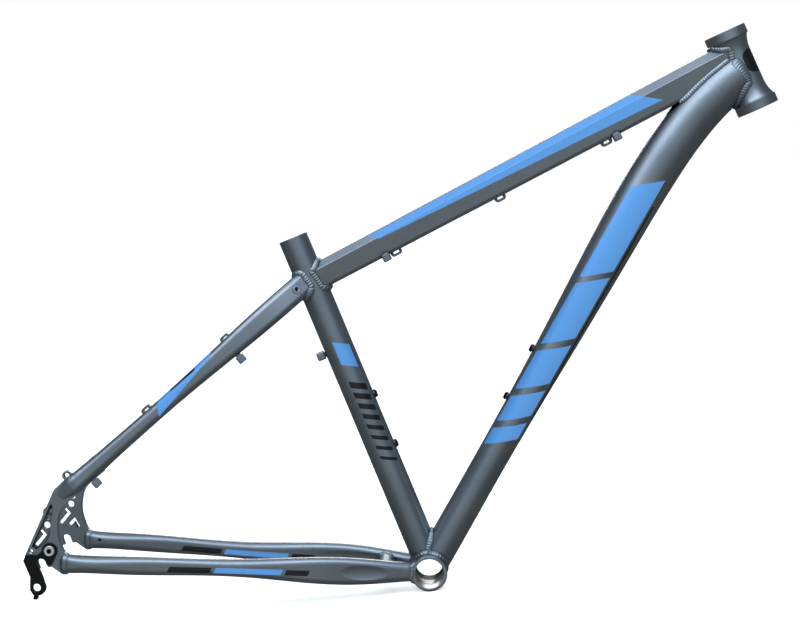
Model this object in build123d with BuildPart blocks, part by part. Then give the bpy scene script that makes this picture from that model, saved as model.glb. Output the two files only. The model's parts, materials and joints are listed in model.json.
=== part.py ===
from build123d import *
from math import cos, radians, sin, sqrt
import os

os.makedirs("parts", exist_ok=True)

# Bare hardtail bicycle frame in its riding position. Millimetres and degrees.
# Origin at the centre of the bottom bracket shell, +X forward, +Y to the left, +Z up.

# Frame geometry
chain_stay_length = 447.0  # shell centre to rear axle
axle_rise = 63.5  # rear axle above the shell centre
seat_angle = 73.0
seat_tube_length = 425.0
seat_tube_lead = 2.0  # the seat tube's axis passes this far ahead of the shell centre
head_angle = 71.0
reach = 402.0
stack = 596.0
hub_width = 135.0  # between the inner faces of the dropouts

# Bottom bracket shell
shell_width = 73.0
shell_diameter = 42.0
shell_bore = 34.8
shell_edge = 0.8

# Head tube
head_tube_length = 98.0
head_collar_diameter = 49.8
head_collar_height = 11.0
head_collar_step = 1.3  # how far the collar stands out over the flare
head_waist_diameter = 38.6
head_flare_length = 18.0
head_cup_bore = 44.0
head_cup_depth = 14.0
head_waist_bore = 33.8
head_mouth_chamfer = 0.7

# Seat tube
seat_tube_diameter = 34.9
seat_post_bore = 31.6
seat_post_reach = 200.0  # reamed for the post this far down from the top
seat_tube_bore = 32.0  # below the reamed length
clamp_slot_width = 3.0
clamp_slot_length = 32.0
clamp_slot_relief = 6.0

# Top tube
top_tube_angle = 22.35
top_tube_drop = 30.5  # its axis meets the head tube's axis this far below the top
top_tube_wall = 1.8
top_tube_rear_height = 31.4
top_tube_front_height = 36.0
top_tube_rear_width = 32.0
top_tube_front_width = 37.0
top_tube_crease_share = 0.25  # share of the height above the crease
top_tube_ridge_share = 0.5  # width of the top face over the whole width
top_tube_belly_share = 0.8  # width of the underside over the whole width
top_tube_crease_radius = 1.2
top_tube_belly_radius = 5.0

# Down tube
down_tube_angle = 55.2
down_tube_straight = 535.0
down_tube_bend_radius = 418.0
down_tube_bend = 21.0
down_tube_parallel = 150.0  # length of constant height from the shell
down_tube_shell_height = 38.0
down_tube_shell_width = 44.0
down_tube_head_height = 54.0
down_tube_head_width = 47.0
down_tube_wall = 1.8

# Stays
stay_wall = 1.6
stay_lap = 2.0  # how far a stay laps over its dropout
stay_plug = 9.0  # solid length at the dropout end
chain_stay_shell_y = 24.0
chain_stay_tyre_y = 42.5
chain_stay_tyre_x = -105.0
chain_stay_middle_x = -205.0
chain_stay_middle_y = 50.0
chain_stay_rear_x = -345.0
chain_stay_rear_y = 68.0
chain_stay_shell_height = 22.5
chain_stay_shell_width = 17.0
chain_stay_tall_height = 32.0
chain_stay_swell_height = 27.6
chain_stay_front_height = 30.0
chain_stay_tall_width = 15.0
chain_stay_slim_height = 21.0
chain_stay_slim_width = 16.5
chain_stay_end_height = 22.5
chain_stay_press_outer_x = -78.0  # middle of the dimple pressed into the outer side
chain_stay_press_inner_x = -88.0  # and into the inner side, for the tyre
chain_stay_press_length = 66.0
chain_stay_press_height = 18.0
chain_stay_press_depth = 1.8
seat_stay_foot_y = 6.0
seat_stay_foot_x = -107.0
seat_stay_shoulder_x = -145.0
seat_stay_shoulder_y = 28.0
seat_stay_tyre_x = -190.0
seat_stay_tyre_y = 43.0
seat_stay_slim_x = -270.0
seat_stay_slim_y = 55.0
seat_stay_slope = 35.6
seat_stay_width = 15.0
seat_stay_top_height = 28.0
seat_stay_shoulder_height = 26.0
seat_stay_swell_height = 21.4
seat_stay_neck_height = 19.2
seat_stay_slim_height = 18.6
seat_stay_end_height = 22.0
stay_end_width = 16.0
stay_edge_share = 0.47  # corner radius over the smaller side of a stay's section
vent_diameter = 3.6
vent_setback = 12.7  # ahead of the dropout's edge

# Bridges
chain_bridge_x = -52.0
chain_bridge_diameter = 18.0
seat_bridge_x = -150.0
seat_bridge_diameter = 14.0
bridge_wall = 2.0

# Dropouts, positions measured forward and up from the axle
dropout_thickness = 10.0
dropout_web = 5.0
axle_slot_width = 10.2
axle_slot_lean = 16.0
stay_tongue_length = 8.0
stay_tongue_height = 14.0
weld_land = 0.5  # how far the plate stands out over the stays it holds
seat_socket_length = 25.0  # the swelling that carries a stay's end down into the plate
chain_socket_length = 8.5
socket_share = 0.7  # height of a swelling's end over its mouth
seat_stay_end = (47.5, 87.3)
chain_stay_end = (28.5, -4.7)
chain_stay_slope = 8.2
eyelet_position = (-10.6, 14.3)
eyelet_bore = 5.0
dropout_edge = 0.6
dropout_windows = (((16.4, 58.8), 4.2), ((13.4, 51.0), 6.0), ((10.0, 42.2), 7.8))
dropout_back_corner = (23.3, 82.8)
dropout_back_radius = 12.0
dropout_back_foot = (-19.0, 8.5)
dropout_lip_back = (-15.0, -9.0)
dropout_lip_front = (11.0, -5.5)
dropout_foot_radius = 5.0
dropout_front = ((24.2, 18.8), (22.3, 30.0), (26.0, 53.0))  # hollow front edge, going up
pocket_foot = ((-5.0, 15.6), (-9.0, 20.0))
pocket_top = (19.6, 70.0)
pocket_front = ((18.6, 56.0), (14.6, 41.0), (12.0, 29.0), (5.3, 21.5))  # going down
pocket_corner = 1.5
hook_window = ((2.6, 36.8), (6.3, 31.2), (-5.3, 19.5))
arrow_window = ((4.6, 15.8), (12.2, 22.6), (16.8, 12.4))
hook_window_width = 3.6

# Disc brake tabs on the left dropout
disc_hole_spacing = 51.0
disc_hole_upper = (8.7, 77.6)
disc_hole_angle = 236.2  # direction from the upper hole to the lower one
disc_hole_diameter = 6.2
disc_boss_diameter = 11.6
disc_tab_thickness = 7.0
disc_tab_roots = ((64.0, 78.0), (13.0, 33.0))  # up the dropout's back edge

# Derailleur hanger
hanger_thickness = 7.0
hanger_seat_depth = 5.0  # into the outer face of the right dropout
hanger_bore = 10.0
hanger_hole = (-8.4, -28.3)
hanger_eye = (-6.8, -28.6)
hanger_eye_diameter = 17.4
hanger_bolt_position = (11.0, 13.3)
hanger_bolt_head = 12.0
hanger_bolt_head_height = 2.2
hanger_bolt_shank = 6.0
hanger_bolt_socket = 5.0
hanger_sleeve_diameter = 8.0
hanger_boss_diameter = 17.0
hanger_nut_diameter = 11.0
hanger_nut_height = 1.6
hanger_corner = 1.2
hanger_fit = 0.1  # gap between the hanger and the edge of its seat

# Bottle bosses
bottle_pitch = 64.0
seat_tube_bottle_height = 154.0  # first boss above the shell, along the tube
down_tube_bottle_height = 224.0
insert_diameter = 7.0
insert_depth = 9.0
insert_flange_diameter = 10.0
insert_flange_height = 0.8
bottle_thread = 5.0
bottle_head_diameter = 9.5
bottle_head_height = 3.0
bottle_bolt_length = 9.0
bottle_socket = 4.0

# Rack bosses
rack_boss_x = -124.6
rack_boss_diameter = 10.6
rack_boss_proud = 0.7
rack_boss_depth = 4.0
rack_thread = 5.0

# Cable stops and hose guides
stop_length = 10.0
stop_width = 9.5
stop_height = 9.0
stop_axis_height = 4.8  # cable centre above the block's foot
stop_ferrule = 5.2
stop_ferrule_depth = 7.0
stop_wire = 2.4
stop_slit = 1.6
stop_edge = 2.0
guide_length = 14.0
guide_height = 5.6
guide_width = 7.0
guide_window_length = 7.0
guide_window_height = 2.7
fitting_bury = 4.0  # how far a fitting is drawn into its tube before it is trimmed
stop_stand = 1.6  # height of the stem under a stop on a round tube
stop_sink = 3.0  # how far the top tube's stops reach up its flank
stop_stem_share = 0.65  # stem over block
top_tube_stop_y = -13.5
top_tube_stop_rear = 468.0  # behind the head tube's axis, along the top tube
top_tube_guide_rear = 455.5
top_tube_guide_middle = 318.0
top_tube_guide_front = 178.0
top_tube_stop_front = 165.5
seat_tube_stop_height = 283.0
seat_stay_stop_upper_x = -203.0
seat_stay_guide_upper_x = -211.5
seat_stay_guide_lower = 78.0  # ahead of the seat stay's rear end
seat_stay_stop_lower = 17.0

# Axes and planes that follow from the sizes
across = Vector(0, 1, 0)
axle_x = -sqrt(chain_stay_length**2 - axle_rise**2)
axle_z = axle_rise
head_up = Vector(-cos(radians(head_angle)), 0, sin(radians(head_angle)))
head_forward = Vector(sin(radians(head_angle)), 0, cos(radians(head_angle)))
head_top = Vector(reach, 0, stack)
head_bottom = head_top - head_up * head_tube_length
seat_up = Vector(-cos(radians(seat_angle)), 0, sin(radians(seat_angle)))
seat_forward = Vector(sin(radians(seat_angle)), 0, cos(radians(seat_angle)))
seat_foot = Vector(seat_tube_lead, 0, 0)
seat_top = seat_foot + seat_up * seat_tube_length
top_tube_forward = Vector(cos(radians(top_tube_angle)), 0, sin(radians(top_tube_angle)))
top_tube_down = Vector(sin(radians(top_tube_angle)), 0, -cos(radians(top_tube_angle)))
top_tube_front = head_top - head_up * top_tube_drop
down_tube_forward = Vector(cos(radians(down_tube_angle)), 0, sin(radians(down_tube_angle)))
down_tube_up = Vector(-sin(radians(down_tube_angle)), 0, cos(radians(down_tube_angle)))


def tube_plane(centre, direction):
    """A plane across a tube, its local x pointing to the left of the frame."""
    return Plane(origin=centre, x_dir=across, z_dir=direction)


def blend(first, second, share):
    """The size a given share of the way from the first size to the second."""
    return first + (second - first) * share


def trimmed(piece, *neighbours):
    """The piece with everything it shares with its neighbours cut away."""
    with BuildPart() as rest:
        add(piece)
        for neighbour in neighbours:
            add(neighbour, mode=Mode.SUBTRACT)
    return rest.part


def finish(piece, name):
    """Name the piece and write it to its file."""
    piece.label = name
    export_step(piece, f"parts/{name}.step")


# Head tube
head_side = Plane(origin=head_top, x_dir=head_forward, z_dir=-across)
flare_start = head_collar_diameter / 2 - head_collar_step
waist_start = head_collar_height + head_flare_length

with BuildPart() as head_tube_body:
    with BuildSketch(head_side):
        with BuildLine():
            Polyline(
                (head_waist_diameter / 2, -waist_start),
                (head_waist_diameter / 2, waist_start - head_tube_length),
            )
            TangentArc(
                (head_waist_diameter / 2, -waist_start),
                (flare_start, -head_collar_height),
                tangent=(0, 1),
            )
            Polyline(
                (flare_start, -head_collar_height),
                (head_collar_diameter / 2, -head_collar_height),
                (head_collar_diameter / 2, 0),
                (0, 0),
                (0, -head_tube_length),
                (head_collar_diameter / 2, -head_tube_length),
                (head_collar_diameter / 2, head_collar_height - head_tube_length),
                (flare_start, head_collar_height - head_tube_length),
            )
            TangentArc(
                (head_waist_diameter / 2, waist_start - head_tube_length),
                (flare_start, head_collar_height - head_tube_length),
                tangent=(0, -1),
            )
        make_face()
    revolve(axis=Axis(head_top, head_up))

with BuildPart() as head_tube:
    add(head_tube_body.part)
    with Locations(tube_plane(head_top, head_up), tube_plane(head_bottom, -head_up)):
        CounterBoreHole(
            radius=head_waist_bore / 2,
            counter_bore_radius=head_cup_bore / 2,
            counter_bore_depth=head_cup_depth,
            depth=head_tube_length,
        )
    mouths = head_tube.edges().filter_by(GeomType.CIRCLE)
    chamfer(
        mouths.filter_by(lambda edge: abs(edge.radius - head_cup_bore / 2) < 0.01)
        .filter_by(
            lambda edge: min(
                (edge.arc_center - head_top).length, (edge.arc_center - head_bottom).length
            )
            < 1
        ),
        length=head_mouth_chamfer,
    )
finish(head_tube.part, "head_tube")

# Bottom bracket shell
with BuildPart() as shell_body:
    with BuildSketch(Plane.XZ):
        Circle(shell_diameter / 2)
    extrude(amount=shell_width / 2, both=True)
    chamfer(shell_body.edges().filter_by(GeomType.CIRCLE), length=shell_edge)

with BuildPart() as bottom_bracket_shell:
    add(shell_body.part)
    with BuildSketch(Plane.XZ):
        Circle(shell_bore / 2)
    extrude(amount=shell_width, both=True, mode=Mode.SUBTRACT)
finish(bottom_bracket_shell.part, "bottom_bracket_shell")

# Threaded inserts and bolts for two bottle cages
seat_bottle_planes = [
    Plane(
        origin=seat_foot
        + seat_up * (seat_tube_bottle_height + bottle_pitch * number)
        + seat_forward * (seat_tube_diameter / 2),
        x_dir=across,
        z_dir=seat_forward,
    )
    for number in range(2)
]


def down_tube_height_at(distance):
    """Height of the straight part of the down tube, this far from the shell centre."""
    growing = down_tube_straight - down_tube_parallel
    share = max(0, distance - down_tube_parallel) / growing
    return blend(down_tube_shell_height, down_tube_head_height, share)


down_bottle_distances = [down_tube_bottle_height + bottle_pitch * number for number in range(2)]
down_bottle_planes = [
    Plane(
        origin=down_tube_forward * distance + down_tube_up * (down_tube_height_at(distance) / 2),
        x_dir=across,
        z_dir=down_tube_up,
    )
    for distance in down_bottle_distances
]


def bottle_inserts(places):
    """Flanged threaded inserts, flange on the tube."""
    with BuildPart(*places) as inserts:
        Cylinder(
            insert_flange_diameter / 2,
            insert_flange_height,
            align=(Align.CENTER, Align.CENTER, Align.MIN),
        )
        Cylinder(
            insert_diameter / 2, insert_depth, align=(Align.CENTER, Align.CENTER, Align.MAX)
        )
    return inserts.part


def bottle_bolts(places):
    """Button-head socket bolts screwed into the inserts."""
    heads = [place.offset(insert_flange_height) for place in places]
    with BuildPart(*heads) as bolts:
        Cylinder(
            bottle_head_diameter / 2,
            bottle_head_height,
            align=(Align.CENTER, Align.CENTER, Align.MIN),
        )
        fillet(
            bolts.edges()
            .filter_by(GeomType.CIRCLE)
            .filter_by(lambda edge: min(abs(head.to_local_coords(edge.arc_center).Z
                       - bottle_head_height) for head in heads) < 0.01),
            radius=bottle_head_height * 0.7,
        )
        Cylinder(
            bottle_thread / 2,
            bottle_bolt_length,
            align=(Align.CENTER, Align.CENTER, Align.MAX),
        )
        with BuildSketch(*[head.offset(bottle_head_height) for head in heads]):
            RegularPolygon(bottle_socket / 2, 6, major_radius=False)
        extrude(amount=-bottle_head_height * 0.7, mode=Mode.SUBTRACT)
    return bolts.part


seat_inserts = bottle_inserts(seat_bottle_planes)
seat_bolts = bottle_bolts(seat_bottle_planes)
down_inserts = bottle_inserts(down_bottle_planes)
down_bolts = bottle_bolts(down_bottle_planes)
finish(trimmed(seat_inserts, seat_bolts), "seat_tube_bottle_bosses")
finish(seat_bolts, "seat_tube_bottle_bolts")
finish(trimmed(down_inserts, down_bolts), "down_tube_bottle_bosses")
finish(down_bolts, "down_tube_bottle_bolts")

# Seat tube
with BuildPart() as seat_tube_body:
    with BuildSketch(tube_plane(seat_foot, seat_up)):
        Circle(seat_tube_diameter / 2)
    extrude(amount=seat_tube_length)

with BuildPart() as seat_tube:
    add(seat_tube_body.part)
    with BuildSketch(tube_plane(seat_foot, seat_up)):
        Circle(seat_tube_bore / 2)
    extrude(amount=seat_tube_length - seat_post_reach, mode=Mode.SUBTRACT)
    with BuildSketch(tube_plane(seat_top, -seat_up)):
        Circle(seat_post_bore / 2)
    extrude(amount=seat_post_reach, mode=Mode.SUBTRACT)
    with BuildSketch(Plane(origin=seat_top, x_dir=across, z_dir=-seat_forward)):
        with Locations((0, clamp_slot_length / 2 - clamp_slot_length)):
            Rectangle(clamp_slot_width, clamp_slot_length)
        with Locations((0, -clamp_slot_length)):
            Circle(clamp_slot_relief / 2)
    extrude(amount=seat_tube_diameter, mode=Mode.SUBTRACT)
    add(shell_body.part, mode=Mode.SUBTRACT)
    add(seat_inserts, mode=Mode.SUBTRACT)

# Top tube
top_tube_back = (
    (seat_foot - top_tube_front).cross(seat_up).Y / (-top_tube_forward).cross(seat_up).Y
)
top_tube_rear = top_tube_front - top_tube_forward * top_tube_back


def top_tube_solid(wall):
    """The top tube: flat flanks, bevelled upper side, rounded belly; drawn in by the wall."""
    ends = (
        (top_tube_rear, top_tube_rear_width, top_tube_rear_height),
        (top_tube_front, top_tube_front_width, top_tube_front_height),
    )
    with BuildPart() as solid:
        for centre, full_width, full_height in ends:
            flank = full_width / 2 - wall
            top = full_height / 2 - wall
            crease = top - full_height * top_tube_crease_share
            with BuildSketch(tube_plane(centre, top_tube_forward)) as section:
                with BuildLine():
                    Polyline(
                        (-flank * top_tube_belly_share, -top),
                        (flank * top_tube_belly_share, -top),
                        (flank, crease),
                        (flank * top_tube_ridge_share, top),
                        (-flank * top_tube_ridge_share, top),
                        (-flank, crease),
                        close=True,
                    )
                make_face()
                fillet(section.vertices().group_by(Axis.Y)[0], radius=top_tube_belly_radius)
                fillet(section.vertices().group_by(Axis.Y)[-1], radius=top_tube_crease_radius)
                fillet(section.vertices().sort_by(Axis.X)[0], radius=top_tube_crease_radius)
                fillet(section.vertices().sort_by(Axis.X)[-1], radius=top_tube_crease_radius)
        loft()
    return solid.part


top_tube_body = top_tube_solid(0)
top_tube = trimmed(
    top_tube_body, top_tube_solid(top_tube_wall), head_tube_body.part, seat_tube_body.part
)

# Down tube
with BuildLine(Plane.XZ) as down_tube_path:
    straight = PolarLine((0, 0), down_tube_straight, down_tube_angle)
    bend = JernArc(
        start=straight @ 1,
        tangent=straight % 1,
        radius=down_tube_bend_radius,
        arc_size=-down_tube_bend,
    )


def down_tube_solid(wall):
    """The down tube's outside, drawn in by the wall."""
    stations = [
        (straight @ share, straight % share, share * down_tube_straight)
        for share in (0, down_tube_parallel / down_tube_straight, 0.65, 1)
    ] + [(bend @ share, bend % share, down_tube_straight) for share in (0.5, 1)]
    with BuildPart() as solid:
        for centre, direction, distance in stations:
            width = blend(
                down_tube_shell_width, down_tube_head_width, distance / down_tube_straight
            )
            with BuildSketch(tube_plane(centre, direction)):
                Ellipse(width / 2 - wall, down_tube_height_at(distance) / 2 - wall)
        loft()
    return solid.part


down_tube_body = down_tube_solid(0)
down_tube = trimmed(
    down_tube_body,
    down_tube_solid(down_tube_wall),
    head_tube_body.part,
    top_tube_body,
    shell_body.part,
    seat_tube_body.part,
    down_inserts,
)
finish(seat_tube.part, "seat_tube")
finish(top_tube, "top_tube")
finish(down_tube, "down_tube")

# Stays of the right side; the left ones are mirrored
plate_y = -(hub_width + dropout_thickness) / 2


def beside_axle(position, y):
    """A point given forward and up from the axle, on the plane at this y."""
    forward, up = tuple(position)[:2]
    return Vector(axle_x + forward, y, axle_z + up)


def chain_stay_centre(x, y):
    """A point of the right chain stay's centre line."""
    end = beside_axle(chain_stay_end, plate_y)
    return Vector(x, -y, end.Z - (x - end.X) * sin(radians(chain_stay_slope)))


def seat_stay_centre(x, y):
    """A point of the right seat stay's centre line."""
    end = beside_axle(seat_stay_end, plate_y)
    rise = sin(radians(seat_stay_slope)) / cos(radians(seat_stay_slope))
    return Vector(x, -y, end.Z + (x - end.X) * rise)


def share_at(line, x):
    """How far along a stay's line, as a share, it crosses this x."""
    low, high = 0.0, 1.0
    while high - low > 1e-6:
        middle = (low + high) / 2
        if (line @ middle).X < x:
            low = middle
        else:
            high = middle
    return low


def stay_solid(line, sections, wall, start=0.0):
    """A loft along a stay's line through sections: share of its length, width and height."""
    with BuildPart() as solid:
        for share, width, height in sections:
            place = max(share, start)
            with BuildSketch(tube_plane(line @ place, line % place)):
                RectangleRounded(
                    width - 2 * wall,
                    height - 2 * wall,
                    (min(width, height) - 2 * wall) * stay_edge_share,
                )
        loft()
    return solid.part


with BuildLine() as chain_stay_line:
    Spline(
        chain_stay_centre(axle_x + chain_stay_end[0] - stay_lap, -plate_y),
        chain_stay_centre(chain_stay_rear_x, chain_stay_rear_y),
        chain_stay_centre(chain_stay_middle_x, chain_stay_middle_y),
        chain_stay_centre(chain_stay_tyre_x, chain_stay_tyre_y),
        chain_stay_centre(-shell_diameter / 5, chain_stay_shell_y),
    )
chain_stay_path = chain_stay_line.edge()
chain_stay_sections = (
    (0.0, stay_end_width, chain_stay_end_height),
    (0.17, chain_stay_slim_width, chain_stay_slim_height),
    (0.48, chain_stay_slim_width, chain_stay_slim_height),
    (0.62, chain_stay_slim_width, chain_stay_swell_height),
    (0.73, chain_stay_tall_width, chain_stay_tall_height),
    (0.84, chain_stay_tall_width, chain_stay_front_height),
    (1.0, chain_stay_shell_width, chain_stay_shell_height),
)

seat_stay_rear = axle_x + seat_stay_end[0] - stay_lap
with BuildLine() as seat_stay_line:
    Spline(
        seat_stay_centre(seat_stay_rear, -plate_y),
        seat_stay_centre(seat_stay_slim_x, seat_stay_slim_y),
        seat_stay_centre(seat_stay_tyre_x, seat_stay_tyre_y),
        seat_stay_centre(seat_stay_shoulder_x, seat_stay_shoulder_y),
        seat_stay_centre(seat_stay_foot_x, seat_stay_foot_y),
    )
seat_stay_path = seat_stay_line.edge()
seat_stay_sections = (
    (0.0, stay_end_width, seat_stay_end_height),
    (0.12, seat_stay_width, seat_stay_neck_height),
    (0.42, seat_stay_width, seat_stay_slim_height),
    (0.56, seat_stay_width, seat_stay_swell_height),
    (0.72, seat_stay_width, seat_stay_shoulder_height),
    (0.86, seat_stay_width, seat_stay_top_height),
    (1.0, seat_stay_width, seat_stay_top_height),
)


def press_tools(growth):
    """The two long rounded forms pressed into a chain stay's sides, grown by the wall for its inside."""
    radius = (chain_stay_press_height**2 / 4 + chain_stay_press_depth**2) / (
        2 * chain_stay_press_depth
    )
    half = chain_stay_press_length / 2 * sqrt(radius / chain_stay_press_depth) * (
        1 + growth / radius
    )
    tools = []
    for x, side in ((chain_stay_press_outer_x, -1), (chain_stay_press_inner_x, 1)):
        share = share_at(chain_stay_path, x)
        section = tube_plane(chain_stay_path @ share, chain_stay_path % share)
        stand = chain_stay_tall_width / 2 + radius - chain_stay_press_depth
        middle = section.origin + section.x_dir * (side * stand)
        with BuildPart() as tool:
            with BuildSketch(Plane(origin=middle, x_dir=section.z_dir, z_dir=section.y_dir)):
                with BuildLine():
                    ThreePointArc((-half, 0), (0, radius + growth), (half, 0))
                    Line((half, 0), (-half, 0))
                make_face()
            revolve(axis=Axis(middle, section.z_dir))
        tools.append(tool.part)
    return tools


chain_stay_body = trimmed(
    stay_solid(chain_stay_path, chain_stay_sections, 0), *press_tools(0)
)
chain_stay_hollow = trimmed(
    stay_solid(
        chain_stay_path, chain_stay_sections, stay_wall, stay_plug / chain_stay_path.length
    ),
    *press_tools(stay_wall),
)
seat_stay_body = stay_solid(seat_stay_path, seat_stay_sections, 0)
seat_stay_hollow = stay_solid(
    seat_stay_path, seat_stay_sections, stay_wall, stay_plug / seat_stay_path.length
)

# Dropouts: a common blank, then the right and the left one
dropout_plane = Plane(
    origin=(axle_x, -hub_width / 2, axle_z), x_dir=(1, 0, 0), z_dir=(0, -1, 0)
)
seat_run = Vector(cos(radians(seat_stay_slope)), sin(radians(seat_stay_slope)))
seat_side = Vector(-seat_run.Y, seat_run.X)
seat_root = Vector(*seat_stay_end)
chain_run = Vector(cos(radians(chain_stay_slope)), -sin(radians(chain_stay_slope)))
chain_side = Vector(-chain_run.Y, chain_run.X)
chain_root = Vector(*chain_stay_end)
seat_land = seat_side * (seat_stay_end_height / 2 + weld_land)
chain_land = chain_side * (chain_stay_end_height / 2 + weld_land)
upper_shoulder = seat_root + seat_land
lower_shoulder = seat_root - seat_land
chain_shoulder = chain_root + chain_land
chain_heel = chain_root - chain_land
heel_back = chain_heel - chain_run * (2 * stay_lap)


def stay_socket(root, run, height, length):
    """The swelling behind a stay's end, which thins down into the plate."""
    mouth = stay_end_width + 2 * weld_land
    foot = dropout_thickness - 2 * weld_land
    with BuildPart() as socket:
        for setback, width, tall in (
            (0, mouth, height + 2 * weld_land),
            (2 * stay_lap, mouth, height + 2 * weld_land),
            (length, foot, height * socket_share),
        ):
            centre = beside_axle(root - run * setback, plate_y)
            with BuildSketch(tube_plane(centre, Vector(run.X, 0, run.Y))):
                RectangleRounded(width, tall, min(width, tall) * stay_edge_share)
        loft(ruled=True)
    return socket.part


def axle_slot():
    """The slot the axle drops into, open downward."""
    run = 2.5 * axle_slot_width
    lean = radians(axle_slot_lean)
    with Locations(Location((run / 2 * sin(lean), -run / 2 * cos(lean)), axle_slot_lean - 90)):
        SlotCenterToCenter(run, axle_slot_width)


with BuildPart() as dropout_blank:
    with BuildSketch(dropout_plane) as outline:
        with BuildLine():
            Polyline(
                (lower_shoulder.X, lower_shoulder.Y),
                (upper_shoulder.X, upper_shoulder.Y),
                dropout_back_corner,
                dropout_back_foot,
                dropout_lip_back,
                dropout_lip_front,
                (heel_back.X, heel_back.Y),
                (chain_heel.X, chain_heel.Y),
                (chain_shoulder.X, chain_shoulder.Y),
            )
            Spline(
                (chain_shoulder.X, chain_shoulder.Y),
                *dropout_front,
                (lower_shoulder.X, lower_shoulder.Y),
                tangents=((-0.9, 0.5), (seat_run.X, seat_run.Y)),
            )
        make_face()
        for corner, radius in (
            (dropout_back_corner, dropout_back_radius),
            (dropout_back_foot, dropout_foot_radius),
            (dropout_lip_back, dropout_foot_radius),
        ):
            fillet(outline.vertices().sort_by_distance(corner)[0], radius=radius)
        for root, slope in ((seat_root, seat_stay_slope), (chain_root, -chain_stay_slope)):
            with Locations(Location((root.X, root.Y), slope)):
                Rectangle(2 * stay_tongue_length, stay_tongue_height)
    extrude(amount=dropout_thickness)
    add(stay_socket(seat_root, seat_run, seat_stay_end_height, seat_socket_length))
    add(stay_socket(chain_root, chain_run, chain_stay_end_height, chain_socket_length))
    with BuildSketch(dropout_plane.offset(dropout_thickness)) as pocket:
        with BuildLine():
            Polyline(*pocket_foot, pocket_top)
            Spline(pocket_top, *pocket_front, pocket_foot[0])
        make_face()
        fillet(pocket.vertices(), radius=pocket_corner)
    extrude(amount=dropout_web - dropout_thickness, mode=Mode.SUBTRACT)
    with BuildSketch(dropout_plane):
        for position, diameter in dropout_windows:
            with Locations(position):
                Circle(diameter / 2)
        with BuildLine():
            Polyline(*hook_window)
        trace(line_width=hook_window_width)
        with Locations(eyelet_position):
            Circle(eyelet_bore / 2)
        axle_slot()
    extrude(amount=dropout_thickness, mode=Mode.SUBTRACT)

# Derailleur hanger, with the slot cut through it
hanger_plane = dropout_plane.offset(dropout_thickness - hanger_seat_depth)


def hanger_outline(gap):
    """The hanger's outline, grown by a gap where it nests in the dropout."""
    with BuildSketch(hanger_plane) as shape:
        with BuildLine():
            Polyline(
                (-17.0, 10.6),
                (-4.0, 8.6),
                (2.6, 13.0),
                (11.0, 13.3),
                (18.4, 9.4),
                (10.6, -4.0),
                (0.5, -2.0),
                (-3.4, -7.4),
                (-0.6, -16.0),
                (1.8, -28.0),
                (-8.4, -38.4),
                (-8.6, -42.0),
                (-14.0, -41.2),
                (-12.6, -37.0),
                (-16.2, -30.0),
                (-14.4, -15.0),
                (-20.4, 4.6),
                close=True,
            )
        make_face()
        fillet(shape.vertices(), radius=hanger_corner)
        with Locations(hanger_bolt_position):
            Circle(hanger_boss_diameter / 2)
        with Locations(hanger_eye):
            Circle(hanger_eye_diameter / 2)
        offset(amount=gap)
    return shape.sketch


with BuildPart() as derailleur_hanger:
    extrude(hanger_outline(0), amount=hanger_thickness)
    with BuildSketch(hanger_plane):
        axle_slot()
        with Locations(hanger_hole):
            Circle(hanger_bore / 2)
        with Locations(hanger_bolt_position):
            Circle(hanger_sleeve_diameter / 2)
    extrude(amount=hanger_thickness, mode=Mode.SUBTRACT)
finish(derailleur_hanger.part, "derailleur_hanger")

# Right dropout: seat for the hanger, hole for its bolt
with BuildPart() as dropout_right:
    add(dropout_blank.part)
    extrude(hanger_outline(hanger_fit), amount=hanger_seat_depth, mode=Mode.SUBTRACT)
    with BuildSketch(dropout_plane):
        with Locations(hanger_bolt_position):
            Circle(hanger_sleeve_diameter / 2)
    extrude(amount=dropout_thickness, mode=Mode.SUBTRACT)
finish(dropout_right.part, "dropout_right")

# Left dropout: arrow-shaped window, two tabs for the disc brake
disc_holes = (
    Vector(*disc_hole_upper),
    Vector(*disc_hole_upper) + Vector(disc_hole_spacing, 0).rotate(Axis.Z, disc_hole_angle),
)
back_run = (Vector(*dropout_back_corner) - Vector(*dropout_back_foot)).normalized()
back_in = Vector(back_run.Y, -back_run.X) * (dropout_edge * 2)
left_plane = Plane(origin=(axle_x, hub_width / 2, axle_z), x_dir=(1, 0, 0), z_dir=(0, -1, 0))

with BuildPart() as dropout_left:
    mirror(dropout_blank.part, about=Plane.XZ)
    with BuildSketch(left_plane):
        with BuildLine():
            Polyline(*arrow_window)
        trace(line_width=hook_window_width)
    extrude(amount=-dropout_thickness, mode=Mode.SUBTRACT)
    for hole, root in zip(disc_holes, disc_tab_roots):
        with BuildSketch(left_plane):
            with Locations(hole):
                Circle(disc_boss_diameter / 2)
            with Locations(
                *[Vector(*dropout_back_foot) + back_run * height + back_in for height in root]
            ):
                Circle(dropout_edge)
            make_hull()
        extrude(amount=-disc_tab_thickness)
    with BuildSketch(left_plane):
        with Locations(*disc_holes):
            Circle(disc_hole_diameter / 2)
    extrude(amount=-dropout_thickness, mode=Mode.SUBTRACT)
finish(dropout_left.part, "dropout_left")

# Hanger bolt and its sleeve nut
grip = hanger_thickness + dropout_thickness - hanger_seat_depth
bolt_x, bolt_y = hanger_bolt_position
bolt_place = hanger_plane.offset(hanger_thickness).from_local_coords(Vector(bolt_x, bolt_y))
bolt_plane = Plane(origin=bolt_place, x_dir=(1, 0, 0), z_dir=(0, -1, 0))

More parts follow.
